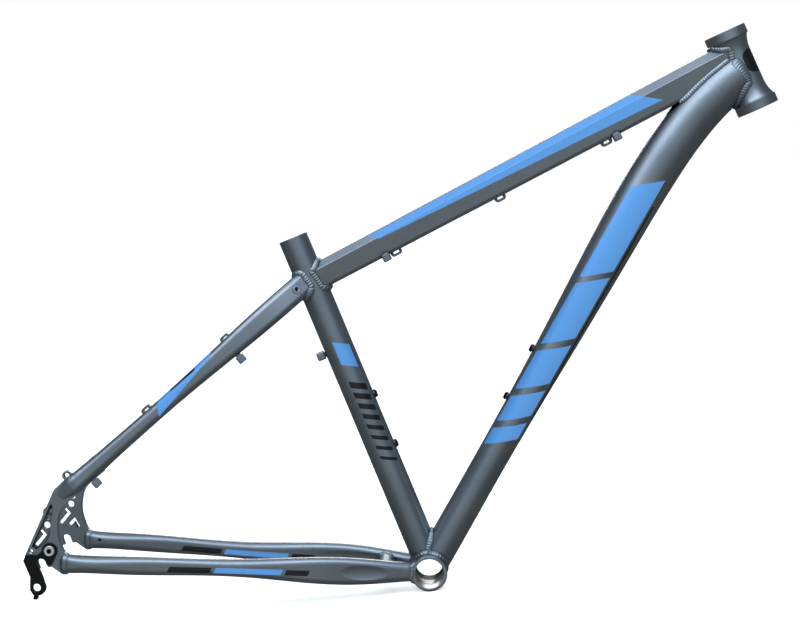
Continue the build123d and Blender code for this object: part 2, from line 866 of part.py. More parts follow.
with BuildPart() as hanger_bolt:
    with BuildSketch(bolt_plane):
        Circle(hanger_bolt_head / 2)
    extrude(amount=hanger_bolt_head_height)
    chamfer(hanger_bolt.edges().group_by(Axis.Y)[0], length=hanger_bolt_head_height / 3)
    with BuildSketch(bolt_plane):
        Circle(hanger_bolt_shank / 2)
    extrude(amount=1 - grip)
    with BuildSketch(bolt_plane.offset(hanger_bolt_head_height)):
        RegularPolygon(hanger_bolt_socket / 2, 6, major_radius=False)
    extrude(amount=-hanger_bolt_head_height, mode=Mode.SUBTRACT)
finish(hanger_bolt.part, "hanger_bolt")

with BuildPart() as hanger_nut:
    with BuildSketch(bolt_plane.offset(-grip)):
        Circle(hanger_nut_diameter / 2)
    extrude(amount=-hanger_nut_height)
    with BuildSketch(bolt_plane.offset(-grip)):
        Circle(hanger_sleeve_diameter / 2)
    extrude(amount=grip)
    with BuildSketch(bolt_plane):
        Circle(hanger_bolt_shank / 2)
    extrude(amount=-grip, mode=Mode.SUBTRACT)
finish(hanger_nut.part, "hanger_nut")


def stay_height_at(sections, share):
    """Height of a stay's section at a share of its length."""
    for (start, _, first), (end, _, second) in zip(sections, sections[1:]):
        if start <= share <= end:
            return blend(first, second, (share - start) / (end - start))


# Rack bosses in the outer sides of the seat stays
rack_share = share_at(seat_stay_path, rack_boss_x)
rack_section = tube_plane(seat_stay_path @ rack_share, seat_stay_path % rack_share)
rack_plane = Plane(
    origin=rack_section.origin - rack_section.x_dir * (seat_stay_width / 2),
    z_dir=-rack_section.x_dir,
)
with BuildPart() as rack_boss_body:
    with BuildSketch(rack_plane.offset(-rack_boss_depth)):
        Circle(rack_boss_diameter / 2)
    extrude(amount=rack_boss_depth + rack_boss_proud)
with BuildPart() as rack_boss_right:
    add(rack_boss_body.part)
    with BuildSketch(rack_plane.offset(-rack_boss_depth)):
        Circle(rack_thread / 2)
    extrude(amount=rack_boss_depth + rack_boss_proud, mode=Mode.SUBTRACT)
finish(rack_boss_right.part, "rack_boss_right")
finish(mirror(rack_boss_right.part, about=Plane.XZ), "rack_boss_left")

# Chain stays and seat stays
with BuildPart() as vent:
    end = beside_axle(chain_stay_end, plate_y)
    with BuildSketch(Plane(origin=(end.X + vent_setback, end.Y, end.Z), z_dir=(0, 1, 0))):
        Circle(vent_diameter / 2)
    extrude(amount=stay_end_width)

chain_stay = trimmed(
    chain_stay_body, vent.part, chain_stay_hollow, dropout_right.part, shell_body.part
)
seat_stay = trimmed(
    seat_stay_body, seat_stay_hollow, rack_boss_body.part, dropout_right.part, seat_tube_body.part
)
finish(mirror(chain_stay, about=Plane.XZ), "chain_stay_left")
finish(mirror(seat_stay, about=Plane.XZ), "seat_stay_left")
finish(chain_stay, "chain_stay_right")
finish(seat_stay, "seat_stay_right")


def bridge(line, x, diameter, stay):
    """A tube across the frame at this x, ending on the inner sides of a pair of stays."""
    centre = line @ share_at(line, x)
    middle = Vector(centre.X, 0, centre.Z)
    with BuildPart() as tube:
        with BuildSketch(Plane(origin=middle, x_dir=(1, 0, 0), z_dir=across)):
            Circle(diameter / 2)
            Circle(diameter / 2 - bridge_wall, mode=Mode.SUBTRACT)
        extrude(amount=abs(centre.Y), both=True)
    return trimmed(tube.part, stay, mirror(stay, about=Plane.XZ))


finish(
    bridge(chain_stay_path, chain_bridge_x, chain_bridge_diameter, chain_stay_body),
    "chain_stay_bridge",
)
finish(
    bridge(seat_stay_path, seat_bridge_x, seat_bridge_diameter, seat_stay_body),
    "seat_stay_bridge",
)


def cable_stop(place, stand):
    """A stop for a cable housing: block, ferrule seat, wire hole and slit."""
    with BuildPart() as stop:
        with BuildSketch(place.offset(stand)):
            RectangleRounded(stop_length, stop_width, stop_edge)
        extrude(amount=stop_height)
        top = stop.faces().sort_by(Axis(place.origin, place.z_dir))[-1]
        chamfer(top.edges(), length=stop_edge / 2)
        with BuildSketch(place.offset(-fitting_bury)):
            Rectangle(stop_length * stop_stem_share, stop_width * stop_stem_share)
        extrude(amount=fitting_bury + stand)
        bore = Plane(
            origin=place.origin
            + place.z_dir * (stand + stop_axis_height)
            - place.x_dir * (stop_length / 2),
            x_dir=place.y_dir,
            z_dir=place.x_dir,
        )
        with BuildSketch(bore):
            Circle(stop_ferrule / 2)
        extrude(amount=stop_ferrule_depth, mode=Mode.SUBTRACT)
        with BuildSketch(bore):
            Circle(stop_wire / 2)
        extrude(amount=stop_length, mode=Mode.SUBTRACT)
        with BuildSketch(place.offset(stand + stop_axis_height)):
            Rectangle(stop_length, stop_slit)
        extrude(amount=stop_height, mode=Mode.SUBTRACT)
    return stop.part


def hose_guide(place):
    """A low arch that a tie passes under to hold a hose."""
    side = Plane(origin=place.origin, x_dir=place.x_dir, z_dir=-place.y_dir)
    with BuildPart() as guide:
        with BuildSketch(side) as arch:
            with Locations((0, (guide_height - fitting_bury) / 2)):
                Rectangle(guide_length, guide_height + fitting_bury)
            fillet(arch.vertices().group_by(Axis.Y)[-1], radius=guide_height * 0.7)
            with Locations((0, (guide_window_height - fitting_bury) / 2)):
                Rectangle(
                    guide_window_length, guide_window_height + fitting_bury, mode=Mode.SUBTRACT
                )
        extrude(amount=guide_width / 2, both=True)
    return guide.part


def top_tube_under(distance, y):
    """A place on the top tube's underside, this far behind the head tube's axis."""
    share = distance / top_tube_back
    height = blend(top_tube_front_height, top_tube_rear_height, share)
    centre = top_tube_front - top_tube_forward * distance
    return Plane(
        origin=centre + top_tube_down * (height / 2) + across * y,
        x_dir=top_tube_forward,
        z_dir=top_tube_down,
    )


def seat_stay_surface(x, side):
    """A place on the right seat stay at this x: side 1 is above, side -1 below."""
    share = share_at(seat_stay_path, x)
    section = tube_plane(seat_stay_path @ share, seat_stay_path % share)
    height = stay_height_at(seat_stay_sections, share)
    return Plane(
        origin=section.origin + section.y_dir * (side * height / 2),
        x_dir=section.z_dir,
        z_dir=section.y_dir * side,
    )


seat_tube_back = Plane(
    origin=seat_foot + seat_up * seat_tube_stop_height - seat_forward * (seat_tube_diameter / 2),
    x_dir=seat_up,
    z_dir=-seat_forward,
)
for name, distance in (
    ("top_tube_stop_rear", top_tube_stop_rear),
    ("top_tube_stop_front", top_tube_stop_front),
):
    place = top_tube_under(distance, top_tube_stop_y)
    finish(trimmed(cable_stop(place, -stop_sink), top_tube_body), name)
for name, distance in (
    ("top_tube_guide_rear", top_tube_guide_rear),
    ("top_tube_guide_middle", top_tube_guide_middle),
    ("top_tube_guide_front", top_tube_guide_front),
):
    finish(trimmed(hose_guide(top_tube_under(distance, 0)), top_tube_body), name)
finish(
    trimmed(cable_stop(seat_tube_back, stop_stand), seat_tube_body.part), "seat_tube_stop"
)
for name, x in (
    ("seat_stay_stop_upper", seat_stay_stop_upper_x),
    ("seat_stay_stop_lower", seat_stay_rear + seat_stay_stop_lower),
):
    place = seat_stay_surface(x, -1)
    finish(trimmed(cable_stop(place, stop_stand), seat_stay_body), name)
for name, x in (
    ("seat_stay_guide_upper", seat_stay_guide_upper_x),
    ("seat_stay_guide_lower", seat_stay_rear + seat_stay_guide_lower),
):
    guide = trimmed(hose_guide(seat_stay_surface(x, 1)), seat_stay_body)
    finish(mirror(guide, about=Plane.XZ), name)
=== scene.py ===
import json
import math

import bmesh
import bpy
import numpy as np
from bpy.props import FloatProperty, PointerProperty, StringProperty
from mathutils import Matrix, Vector
from mathutils.bvhtree import BVHTree


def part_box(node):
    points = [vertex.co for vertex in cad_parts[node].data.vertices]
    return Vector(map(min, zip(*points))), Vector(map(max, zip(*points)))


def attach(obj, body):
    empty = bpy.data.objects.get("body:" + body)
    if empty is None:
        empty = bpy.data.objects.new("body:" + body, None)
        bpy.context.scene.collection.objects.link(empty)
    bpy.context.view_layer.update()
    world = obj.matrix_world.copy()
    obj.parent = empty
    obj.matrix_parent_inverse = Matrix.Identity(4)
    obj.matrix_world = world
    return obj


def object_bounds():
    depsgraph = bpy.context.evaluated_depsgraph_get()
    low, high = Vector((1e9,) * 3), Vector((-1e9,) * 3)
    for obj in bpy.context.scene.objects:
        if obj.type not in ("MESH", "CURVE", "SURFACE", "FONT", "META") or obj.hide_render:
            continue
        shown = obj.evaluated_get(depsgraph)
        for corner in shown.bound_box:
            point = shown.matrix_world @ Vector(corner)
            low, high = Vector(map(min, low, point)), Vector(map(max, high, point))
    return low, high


bl_info = {
    "name": "Bare bicycle frame",
    "version": (1, 0, 0),
    "blender": (4, 5, 0),
    "location": "3D View > Sidebar > Bicycle Frame",
    "description": "Paint, graphics, weld beads, threads and studio for a bare hardtail frame",
    "category": "Object",
}

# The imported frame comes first, because sizes and places are read from it
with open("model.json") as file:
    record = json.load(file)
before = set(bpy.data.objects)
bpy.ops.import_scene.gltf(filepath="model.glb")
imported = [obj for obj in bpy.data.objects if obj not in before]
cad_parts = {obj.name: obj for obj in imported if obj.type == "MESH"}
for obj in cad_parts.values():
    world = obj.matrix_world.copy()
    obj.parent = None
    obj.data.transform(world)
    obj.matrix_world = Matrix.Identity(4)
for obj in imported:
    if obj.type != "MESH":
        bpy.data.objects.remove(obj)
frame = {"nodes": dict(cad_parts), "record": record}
cad_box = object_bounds()
MM = 0.001


def mount(name):
    """A stated interface of the frame: its place and its axis."""
    found = next(m for m in frame["record"]["mounts"] if m["name"] == name)
    return Vector(found["pos_m"]), Vector(found["axis"]).normalized()


def mount_size(name, key):
    """A size of a stated interface in metres."""
    found = next(m for m in frame["record"]["mounts"] if m["name"] == name)
    return found["dims"][key] * MM


SHELL, SHELL_AXIS = mount("bottom_bracket")
SEAT_TOP, SEAT_UP = mount("seatpost")
HEAD_TOP, HEAD_UP = mount("headset_upper")
HEAD_BOTTOM, _ = mount("headset_lower")
ACROSS = Vector((0, 1, 0))
HEAD_FRONT = ACROSS.cross(HEAD_UP).normalized()
SEAT_FRONT = ACROSS.cross(SEAT_UP).normalized()
# the seat tube's axis passes 2 mm ahead of the shell's centre
SEAT_FOOT = SHELL + Vector((2, 0, 0)) * MM
# the head tube's faces stand this far beyond the headset's mounts
HEAD_FACE = max(
    v.co.dot(HEAD_UP) for v in frame["nodes"]["head_tube"].data.vertices
) - HEAD_TOP.dot(HEAD_UP)


def linear(hex_colour, alpha=1.0):
    """An sRGB hex colour as linear red, green, blue and alpha."""
    digits = hex_colour.lstrip("#")
    parts = [int(digits[i:i + 2], 16) / 255 for i in (0, 2, 4)]
    return [p / 12.92 if p <= 0.04045 else ((p + 0.055) / 1.055) ** 2.4 for p in parts] + [alpha]


# ---------------------------------------------------------------- settings


class FrameColours(bpy.types.PropertyGroup):
    """Colours of the finishes"""

    paint: StringProperty(
        name="Paint", description="Flake face of the base coat, sRGB hex", default="#959b9f"
    )
    paint_shade: StringProperty(
        name="Paint shade", description="Deep tone of the base coat, sRGB hex", default="#6b7074"
    )
    blue: StringProperty(
        name="Graphics blue", description="Sky blue of the graphics, sRGB hex", default="#518dc4"
    )
    black: StringProperty(
        name="Graphics black", description="Black of the graphics, sRGB hex", default="#0a0b0d"
    )
    anodised: StringProperty(
        name="Hanger", description="Black anodising of the hanger, sRGB hex", default="#101113"
    )
    aluminium: StringProperty(
        name="Cut aluminium", description="Bare machined metal, sRGB hex", default="#d2cec7"
    )
    zinc: StringProperty(
        name="Zinc", description="Plating of the hanger bolt, sRGB hex", default="#dcdcd8"
    )
    oxide: StringProperty(
        name="Black oxide", description="Finish of the bottle bolts, sRGB hex", default="#17181a"
    )
    paper: StringProperty(
        name="Floor", description="Studio floor, sRGB hex", default="#f6f6f4"
    )


class WeldSizes(bpy.types.PropertyGroup):
    """Sizes of the weld beads"""

    reach: FloatProperty(
        name="Reach", description="Width of a bead on each wall it joins", default=4.8 * MM, unit="LENGTH"
    )
    pitch: FloatProperty(
        name="Pitch", description="Distance between ripples", default=3.0 * MM, unit="LENGTH"
    )
    depth: FloatProperty(name="Depth", description="Height of a ripple", default=0.62 * MM, unit="LENGTH")
    crown: FloatProperty(
        name="Crown",
        description="How far a bead bulges over a flat fillet",
        default=0.7 * MM,
        unit="LENGTH",
    )
    step: FloatProperty(
        name="Step", description="Distance between cross sections", default=0.38 * MM, unit="LENGTH"
    )


class StudioSizes(bpy.types.PropertyGroup):
    """Camera and lights"""

    lens: FloatProperty(
        name="Lens", description="Focal length on a 36 mm wide sensor", default=81.45, unit="CAMERA"
    )
    distance: FloatProperty(
        name="Distance",
        description="From the camera to the frame's middle plane",
        default=2.1297,
        unit="LENGTH",
    )
    forward: FloatProperty(
        name="Forward", description="Camera ahead of the shell", default=0.0427, unit="LENGTH"
    )
    height: FloatProperty(
        name="Height", description="Camera above the shell", default=0.4482, unit="LENGTH"
    )
    roll: FloatProperty(
        name="Roll",
        description="How far the view tips the frame back",
        default=math.radians(5.5737),
        unit="ROTATION",
    )
    yaw: FloatProperty(
        name="Yaw", description="Aim to the rear", default=math.radians(1.2888), unit="ROTATION"
    )
    pitch: FloatProperty(
        name="Pitch", description="Aim below level", default=math.radians(3.7805), unit="ROTATION"
    )
    key: FloatProperty(
        name="Key light", description="Watts of the large softbox high in front", default=46.0
    )
    top: FloatProperty(name="Top light", description="Watts of the overhead softbox", default=15.0)
    rear: FloatProperty(name="Rear light", description="Watts of the softbox behind", default=22.0)
    air: FloatProperty(
        name="Room light", description="Strength of the even light of the room", default=0.26
    )
    front: FloatProperty(
        name="Front wall", description="Strength added by the pale wall in front", default=1.15
    )


# ---------------------------------------------------------------- nodes


def add_node(tree, kind, inputs=None, **settings):
    """Add a node. Settings are its properties; each input is a value or the socket that feeds it."""
    node = tree.nodes.new(kind)
    for key, value in settings.items():
        setattr(node, key, value)
    for key, value in (inputs or {}).items():
        if isinstance(value, bpy.types.NodeSocket):
            tree.links.new(value, node.inputs[key])
        else:
            node.inputs[key].default_value = value
    return node


def place_mm(tree):
    """Place on the frame in millimetres from the shell's centre; every piece's own origin is there."""
    where = add_node(tree, "ShaderNodeTexCoord")
    return add_node(
        tree, "ShaderNodeVectorMath", {0: where.outputs["Object"], "Scale": 1 / MM}, operation="SCALE"
    ).outputs[0]


def run_along(tree, place, start, direction):
    """Millimetres past a point, measured in a direction."""
    reach = add_node(tree, "ShaderNodeVectorMath", {0: place, 1: direction}, operation="DOT_PRODUCT")
    at_start = Vector(start).dot(Vector(direction)) / MM
    return add_node(
        tree, "ShaderNodeMath", {0: reach.outputs["Value"], 1: at_start}, operation="SUBTRACT"
    ).outputs[0]


def run_off(tree, place, start, axis):
    """Millimetres away from an axis."""
    offset = add_node(
        tree, "ShaderNodeVectorMath", {0: place, 1: Vector(start) / MM}, operation="SUBTRACT"
    )
    crossed = add_node(
        tree, "ShaderNodeVectorMath", {0: offset.outputs[0], 1: axis}, operation="CROSS_PRODUCT"
    )
    return add_node(
        tree, "ShaderNodeVectorMath", {0: crossed.outputs[0]}, operation="LENGTH"
    ).outputs["Value"]


def between(tree, value, low, high):
    """1 where a length lies between two others, else 0."""
    limits = {0: value, 1: (low + high) / 2, 2: (high - low) / 2}
    return add_node(tree, "ShaderNodeMath", limits, operation="COMPARE").outputs[0]


def both(tree, *masks):
    """1 where every mask is 1."""
    joined = masks[0]
    for mask in masks[1:]:
        joined = add_node(tree, "ShaderNodeMath", {0: joined, 1: mask}, operation="MULTIPLY").outputs[0]
    return joined


def either(tree, *masks):
    """1 where any mask is 1."""
    joined = masks[0]
    for mask in masks[1:]:
        joined = add_node(tree, "ShaderNodeMath", {0: joined, 1: mask}, operation="MAXIMUM").outputs[0]
    return joined


def stripes(tree, run, bars):
    """Hard edged bars along a length, each (start, end, hex colour). Returns the mask and the colour."""
    first, last = bars[0][0] - 1, bars[-1][1] + 1
    share = add_node(tree, "ShaderNodeMapRange", {"Value": run, "From Min": first, "From Max": last})
    ramp = add_node(tree, "ShaderNodeValToRGB", {0: share.outputs[0]})
    stops = ramp.color_ramp
    stops.interpolation = "CONSTANT"
    stops.elements.remove(stops.elements[1])
    stops.elements[0].color = linear(bars[0][2], 0.0)
    for start, end, colour in bars:
        stops.elements.new((start - first) / (last - first)).color = linear(colour)
        stops.elements.new((end - first) / (last - first)).color = linear(colour, 0.0)
    return ramp.outputs["Alpha"], ramp.outputs["Color"]


# ---------------------------------------------------------------- finishes


def new_material(name):
    """A material with an empty node tree."""
    material = bpy.data.materials.new(name)
    material.use_nodes = True
    material.node_tree.nodes.clear()
    return material, material.node_tree


def cut_metal(tree, place):
    """Aluminium cut by reamer and facing tool and left bare: bright and warm beside the paint, with fine
    tool marks that spread a highlight over the cut.
    """
    colours = bpy.context.scene.frame_colours
    # tool marks are 0.1 mm apart and would not show, so they are drawn at 0.6 mm
    marks = add_node(tree, "ShaderNodeTexNoise", {"Vector": place, "Scale": 1 / 0.6, "Detail": 2.0})
    tint = add_node(
        tree,
        "ShaderNodeMix",
        {0: marks.outputs["Fac"], 6: linear("#aaa59b"), 7: linear(colours.aluminium)},
        data_type="RGBA",
    )
    bump = add_node(
        tree, "ShaderNodeBump", {"Height": marks.outputs["Fac"], "Strength": 0.25, "Distance": 0.05 * MM}
    )
    return add_node(
        tree,
        "ShaderNodeBsdfPrincipled",
        {"Base Color": tint.outputs[2], "Metallic": 1.0, "Roughness": 0.3, "Normal": bump.outputs[0]},
    ).outputs[0]


def cut_aluminium():
    """Cut aluminium as a finish of its own."""
    material, tree = new_material("cut_aluminium")
    add_node(tree, "ShaderNodeOutputMaterial", {"Surface": cut_metal(tree, place_mm(tree))})
    return material


def wet_paint(name, graphics=(), bare=()):
    """Satin metallic wet paint on aluminium: a blue grey base coat with aluminium flake under a satin
    clear coat. The flake makes the colour rise where light strikes square on and sink at the edges. The
    clear coat keeps the glow broad, with no mirror image. Graphics are vinyl, bare places are cut metal.
    """
    colours = bpy.context.scene.frame_colours
    material, tree = new_material(name)
    place = place_mm(tree)
    # flake is 0.05 mm and would not show, so it is drawn at 0.8 mm
    flake = add_node(
        tree, "ShaderNodeTexNoise", {"Vector": place, "Scale": 1 / 0.8, "Detail": 2.0, "Roughness": 0.7}
    )
    # the coat's thickness drifts over about 70 mm
    drift = add_node(tree, "ShaderNodeTexNoise", {"Vector": place, "Scale": 1 / 70, "Detail": 1.0})
    lift = add_node(
        tree,
        "ShaderNodeMath",
        {0: drift.outputs["Fac"], 1: 0.6, 2: flake.outputs["Fac"]},
        operation="MULTIPLY_ADD",
    )
    share = add_node(
        tree, "ShaderNodeMapRange", {"Value": lift.outputs[0], "From Min": 0.3, "From Max": 1.3}
    )
    base = add_node(
        tree,
        "ShaderNodeMix",
        {0: share.outputs[0], 6: linear(colours.paint_shade), 7: linear(colours.paint)},
        data_type="RGBA",
    )
    # orange peel of 2 mm in the clear coat
    peel = add_node(
        tree, "ShaderNodeTexNoise", {"Vector": place, "Scale": 1 / 2.0, "Detail": 1.0}
    ).outputs["Fac"]
    rough = add_node(
        tree, "ShaderNodeMapRange", {"Value": flake.outputs["Fac"], "To Min": 0.34, "To Max": 0.44}
    ).outputs[0]
    flaked, vinyled = 0.9, 0.12
    colour, height, metal = base.outputs[2], peel, flaked
    masks = []
    for graphic in graphics:
        mask, mark = graphic(tree, place)
        colour = add_node(
            tree, "ShaderNodeMix", {0: mask, 6: colour, 7: mark}, data_type="RGBA"
        ).outputs[2]
        masks.append(mask)
    if masks:
        vinyl = either(tree, *masks)
        metal = add_node(
            tree, "ShaderNodeMapRange", {"Value": vinyl, "To Min": flaked, "To Max": vinyled}
        ).outputs[0]
        # a graphic stands 0.05 mm over the paint
        height = add_node(tree, "ShaderNodeMath", {0: vinyl, 1: peel}, operation="ADD").outputs[0]
    # painted shade: within 7 mm of inside corners and the feet of beads, ambient occlusion darkens the
    # colour toward near black
    corner_shade = add_node(tree, "ShaderNodeAmbientOcclusion", {"Distance": 7.0 * MM}, samples=8)
    reach = add_node(
        tree, "ShaderNodeMapRange", {"Value": corner_shade.outputs["AO"], "From Min": 0.35, "From Max": 0.9}
    )
    # the colour is mixed toward near black by that painted shade
    colour = add_node(
        tree, "ShaderNodeMix", {0: reach.outputs[0], 6: linear("#15181b"), 7: colour}, data_type="RGBA"
    ).outputs[2]
    # paint pulls thin over sharp edges and leaves them 1 mm round
    edges = add_node(tree, "ShaderNodeBevel", {"Radius": 1.0 * MM}, samples=6)
    bump = add_node(
        tree,
        "ShaderNodeBump",
        {"Height": height, "Strength": 0.2, "Distance": 0.05 * MM, "Normal": edges.outputs[0]},
    )
    surface = add_node(
        tree,
        "ShaderNodeBsdfPrincipled",
        {
            "Base Color": colour,
            "Metallic": metal,
            "Roughness": rough,
            "Coat Weight": 0.2,
            "Coat Roughness": 0.3,
            "Normal": bump.outputs[0],
        },
    ).outputs[0]
    if bare:
        mask = either(tree, *[place_of(tree, place) for place_of in bare])
        surface = add_node(
            tree, "ShaderNodeMixShader", {0: mask, 1: surface, 2: cut_metal(tree, place)}
        ).outputs[0]
    add_node(tree, "ShaderNodeOutputMaterial", {"Surface": surface})
    return material


def fine_finish(name, dark, light, metallic, roughness, grain_mm, depth_mm, painted_shade=None):
    """An even finish with a fine grain: two close colours, a roughness that wanders, and a light relief.
    A place given as painted shade is nearly black.
    """
    material, tree = new_material(name)
    place = place_mm(tree)
    grain = add_node(tree, "ShaderNodeTexNoise", {"Vector": place, "Scale": 1 / grain_mm, "Detail": 3.0})
    tint = add_node(
        tree,
        "ShaderNodeMix",
        {0: grain.outputs["Fac"], 6: linear(dark), 7: linear(light)},
        data_type="RGBA",
    )
    # painted shade: the given place is painted near black
    if painted_shade:
        tint = add_node(
            tree,
            "ShaderNodeMix",
            {0: painted_shade(tree, place), 6: tint.outputs[2], 7: linear("#121110")},
            data_type="RGBA",
        )
    rough = add_node(
        tree,
        "ShaderNodeMapRange",
        {"Value": grain.outputs["Fac"], "To Min": roughness - 0.06, "To Max": roughness + 0.06},
    )
    bump = add_node(
        tree,
        "ShaderNodeBump",
        {"Height": grain.outputs["Fac"], "Strength": 0.3, "Distance": depth_mm * MM},
    )
    shader = add_node(
        tree,
        "ShaderNodeBsdfPrincipled",
        {
            "Base Color": tint.outputs[2],
            "Metallic": metallic,
            "Roughness": rough.outputs[0],
            "Normal": bump.outputs[0],
        },
    )
    add_node(tree, "ShaderNodeOutputMaterial", {"Surface": shader.outputs[0]})
    return material


def bolt_socket(tree, place):
    """The hexagon socket of the hanger's bolt, 5 mm across its flats, painted near black as shade in its
    recess.
    """
    low, high = (Vector(corner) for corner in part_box("hanger_bolt"))
    to_corner = 2.9
    return between(tree, run_off(tree, place, (low + high) / 2, SHELL_AXIS), 0.0, to_corner)


def wear(material, *names):
    """Give CAD nodes a finish."""
    for name in names:
        node = frame["nodes"][name]
        node.data.materials.clear()
        node.data.materials.append(material)


# ---------------------------------------------------------------- graphics
# All are plain bars and stripes in blue and black, cut on the slant. Their sizes are in millimetres. A run
# goes along a tube, and a lean is how far back along it a cut moves for each millimetre across the tube.

TOP_TUBE_SLOPE = math.radians(22.35)
DOWN_TUBE_SLOPE = math.radians(55.2)
TOP_TUBE_ALONG = Vector((math.cos(TOP_TUBE_SLOPE), 0, math.sin(TOP_TUBE_SLOPE)))
TOP_TUBE_UP = Vector((-TOP_TUBE_ALONG.z, 0, TOP_TUBE_ALONG.x))
# the top tube's middle meets the head tube's axis 27.5 mm under the upper headset mount
TOP_TUBE_FRONT = HEAD_TOP - HEAD_UP * 27.5 * MM
DOWN_TUBE_ALONG = Vector((math.cos(DOWN_TUBE_SLOPE), 0, math.sin(DOWN_TUBE_SLOPE)))
DOWN_TUBE_UP = Vector((-DOWN_TUBE_ALONG.z, 0, DOWN_TUBE_ALONG.x))


def down_tube_bars(tree, place):
    """Blue bars that grow longer towards the head tube, with slanted ends."""
    colours = bpy.context.scene.frame_colours
    start, lengths, gap, lean = 176.0, (22, 34, 52, 82, 120), 9, 0.8
    lowest, highest = -14.0, 17.5
    run = run_along(tree, place, SHELL, DOWN_TUBE_ALONG)
    rise = run_along(tree, place, SHELL, DOWN_TUBE_UP)
    slanted = add_node(tree, "ShaderNodeMath", {0: rise, 1: lean, 2: run}, operation="MULTIPLY_ADD")
    bars = []
    for length in lengths:
        bars.append((start, start + length, colours.blue))
        start += length + gap
    mask, colour = stripes(tree, slanted.outputs[0], bars)
    return both(tree, mask, between(tree, rise, lowest, highest)), colour


def down_tube_line(tree, place):
    """A thin black line under the bars."""
    colours = bpy.context.scene.frame_colours
    start, end, lowest, highest = 214.0, 500.0, -18.2, -16.4
    run = run_along(tree, place, SHELL, DOWN_TUBE_ALONG)
    rise = run_along(tree, place, SHELL, DOWN_TUBE_UP)
    mask, colour = stripes(tree, run, [(start, end, colours.black)])
    return both(tree, mask, between(tree, rise, lowest, highest)), colour


def top_tube_stripe(tree, place):
    """A blue stripe on the bevel that widens down the flank towards the head tube, with slanted ends."""
    colours = bpy.context.scene.frame_colours
    start, end, lean = -458.0, -108.0, 1.3
    # the lower edge sinks by a share of the run, and the stripe keeps off the tube's flat top
    sink, lowest, highest, flat_top, side = 0.032, -9.0, 40.0, 9.8, 30.0
    run = run_along(tree, place, TOP_TUBE_FRONT, TOP_TUBE_ALONG)
    rise = run_along(tree, place, TOP_TUBE_FRONT, TOP_TUBE_UP)
    across = add_node(tree, "ShaderNodeSeparateXYZ", {0: place}).outputs[1]
    aside = add_node(tree, "ShaderNodeMath", {0: across}, operation="ABSOLUTE").outputs[0]
    slanted = add_node(tree, "ShaderNodeMath", {0: rise, 1: lean, 2: run}, operation="MULTIPLY_ADD")
    mask, colour = stripes(tree, slanted.outputs[0], [(start, end, colours.blue)])
    over = add_node(tree, "ShaderNodeMath", {0: run, 1: sink, 2: rise}, operation="MULTIPLY_ADD")
    flank = between(tree, over.outputs[0], lowest, highest)
    return both(tree, mask, flank, between(tree, aside, flat_top, side)), colour


def seat_tube_bars(tree, place):
    """One blue bar and thin black bars below it, slanted across the tube."""
    colours = bpy.context.scene.frame_colours
    first, pitch, width, growth, lean = 142.0, 13.0, 4.0, 0.6, 0.55
    blue_start, blue_end, rear, front = 262.0, 291.0, -4.0, 13.5
    run = run_along(tree, place, SHELL, SEAT_UP)
    across = run_along(tree, place, SEAT_FOOT, SEAT_FRONT)
    slanted = add_node(tree, "ShaderNodeMath", {0: across, 1: lean, 2: run}, operation="MULTIPLY_ADD")
    bars = []
    for i in range(8):
        start = first + pitch * i
        bars.append((start, start + width + growth * i, colours.black))
    bars.append((blue_start, blue_end, colours.blue))
    mask, colour = stripes(tree, slanted.outputs[0], bars)
    return both(tree, mask, between(tree, across, rear, front)), colour


def chain_stay_dashes(tree, place):
    """Black, blue and black dashes on both flanks of the stay."""
    colours = bpy.context.scene.frame_colours
    # the stay falls forward by a share of the run, because the shell lies lower than the dropouts
    fall, lean, lowest, highest = 0.144, -0.6, -6.0, 0.5
    split = add_node(tree, "ShaderNodeSeparateXYZ", {0: place})
    run, rise = split.outputs[0], split.outputs[2]
    over = add_node(tree, "ShaderNodeMath", {0: run, 1: fall, 2: rise}, operation="MULTIPLY_ADD")
    slanted = add_node(tree, "ShaderNodeMath", {0: rise, 1: lean, 2: run}, operation="MULTIPLY_ADD")
    bars = [
        (-324.0, -272.0, colours.black),
        (-267.0, -184.0, colours.blue),
        (-179.0, -150.0, colours.black),
    ]
    mask, colour = stripes(tree, slanted.outputs[0], bars)
    return both(tree, mask, between(tree, over.outputs[0], lowest, highest)), colour


def seat_stay_blade(tree, place):
    """A blue blade on both flanks of the stay that tapers forward, with a black edge on top."""
    colours = bpy.context.scene.frame_colours
    # the blade's lower edge climbs more steeply than the stay, each by a share of the run
    blade_climb, stay_climb = 0.964, 0.716
    blue_rear, blue_front, blue_lowest, blue_highest = -292.0, -226.0, 498.4, 540.0
    black_rear, black_front, black_lowest, black_highest = -276.0, -246.0, 442.6, 470.0
    split = add_node(tree, "ShaderNodeSeparateXYZ", {0: place})
    run, height = split.outputs[0], split.outputs[2]
    over = add_node(tree, "ShaderNodeMath", {0: run, 1: -blade_climb, 2: height}, operation="MULTIPLY_ADD")
    top = add_node(tree, "ShaderNodeMath", {0: run, 1: -stay_climb, 2: height}, operation="MULTIPLY_ADD")
    blade = between(tree, over.outputs[0], blue_lowest, blue_highest)
    edge = between(tree, top.outputs[0], black_lowest, black_highest)
    blue = both(tree, blade, between(tree, run, blue_rear, blue_front))
    black = both(tree, edge, between(tree, run, black_rear, black_front))
    tone = add_node(
        tree,
        "ShaderNodeMix",
        {0: black, 6: linear(colours.blue), 7: linear(colours.black)},
        data_type="RGBA",
    )
    return either(tree, blue, black), tone.outputs[2]


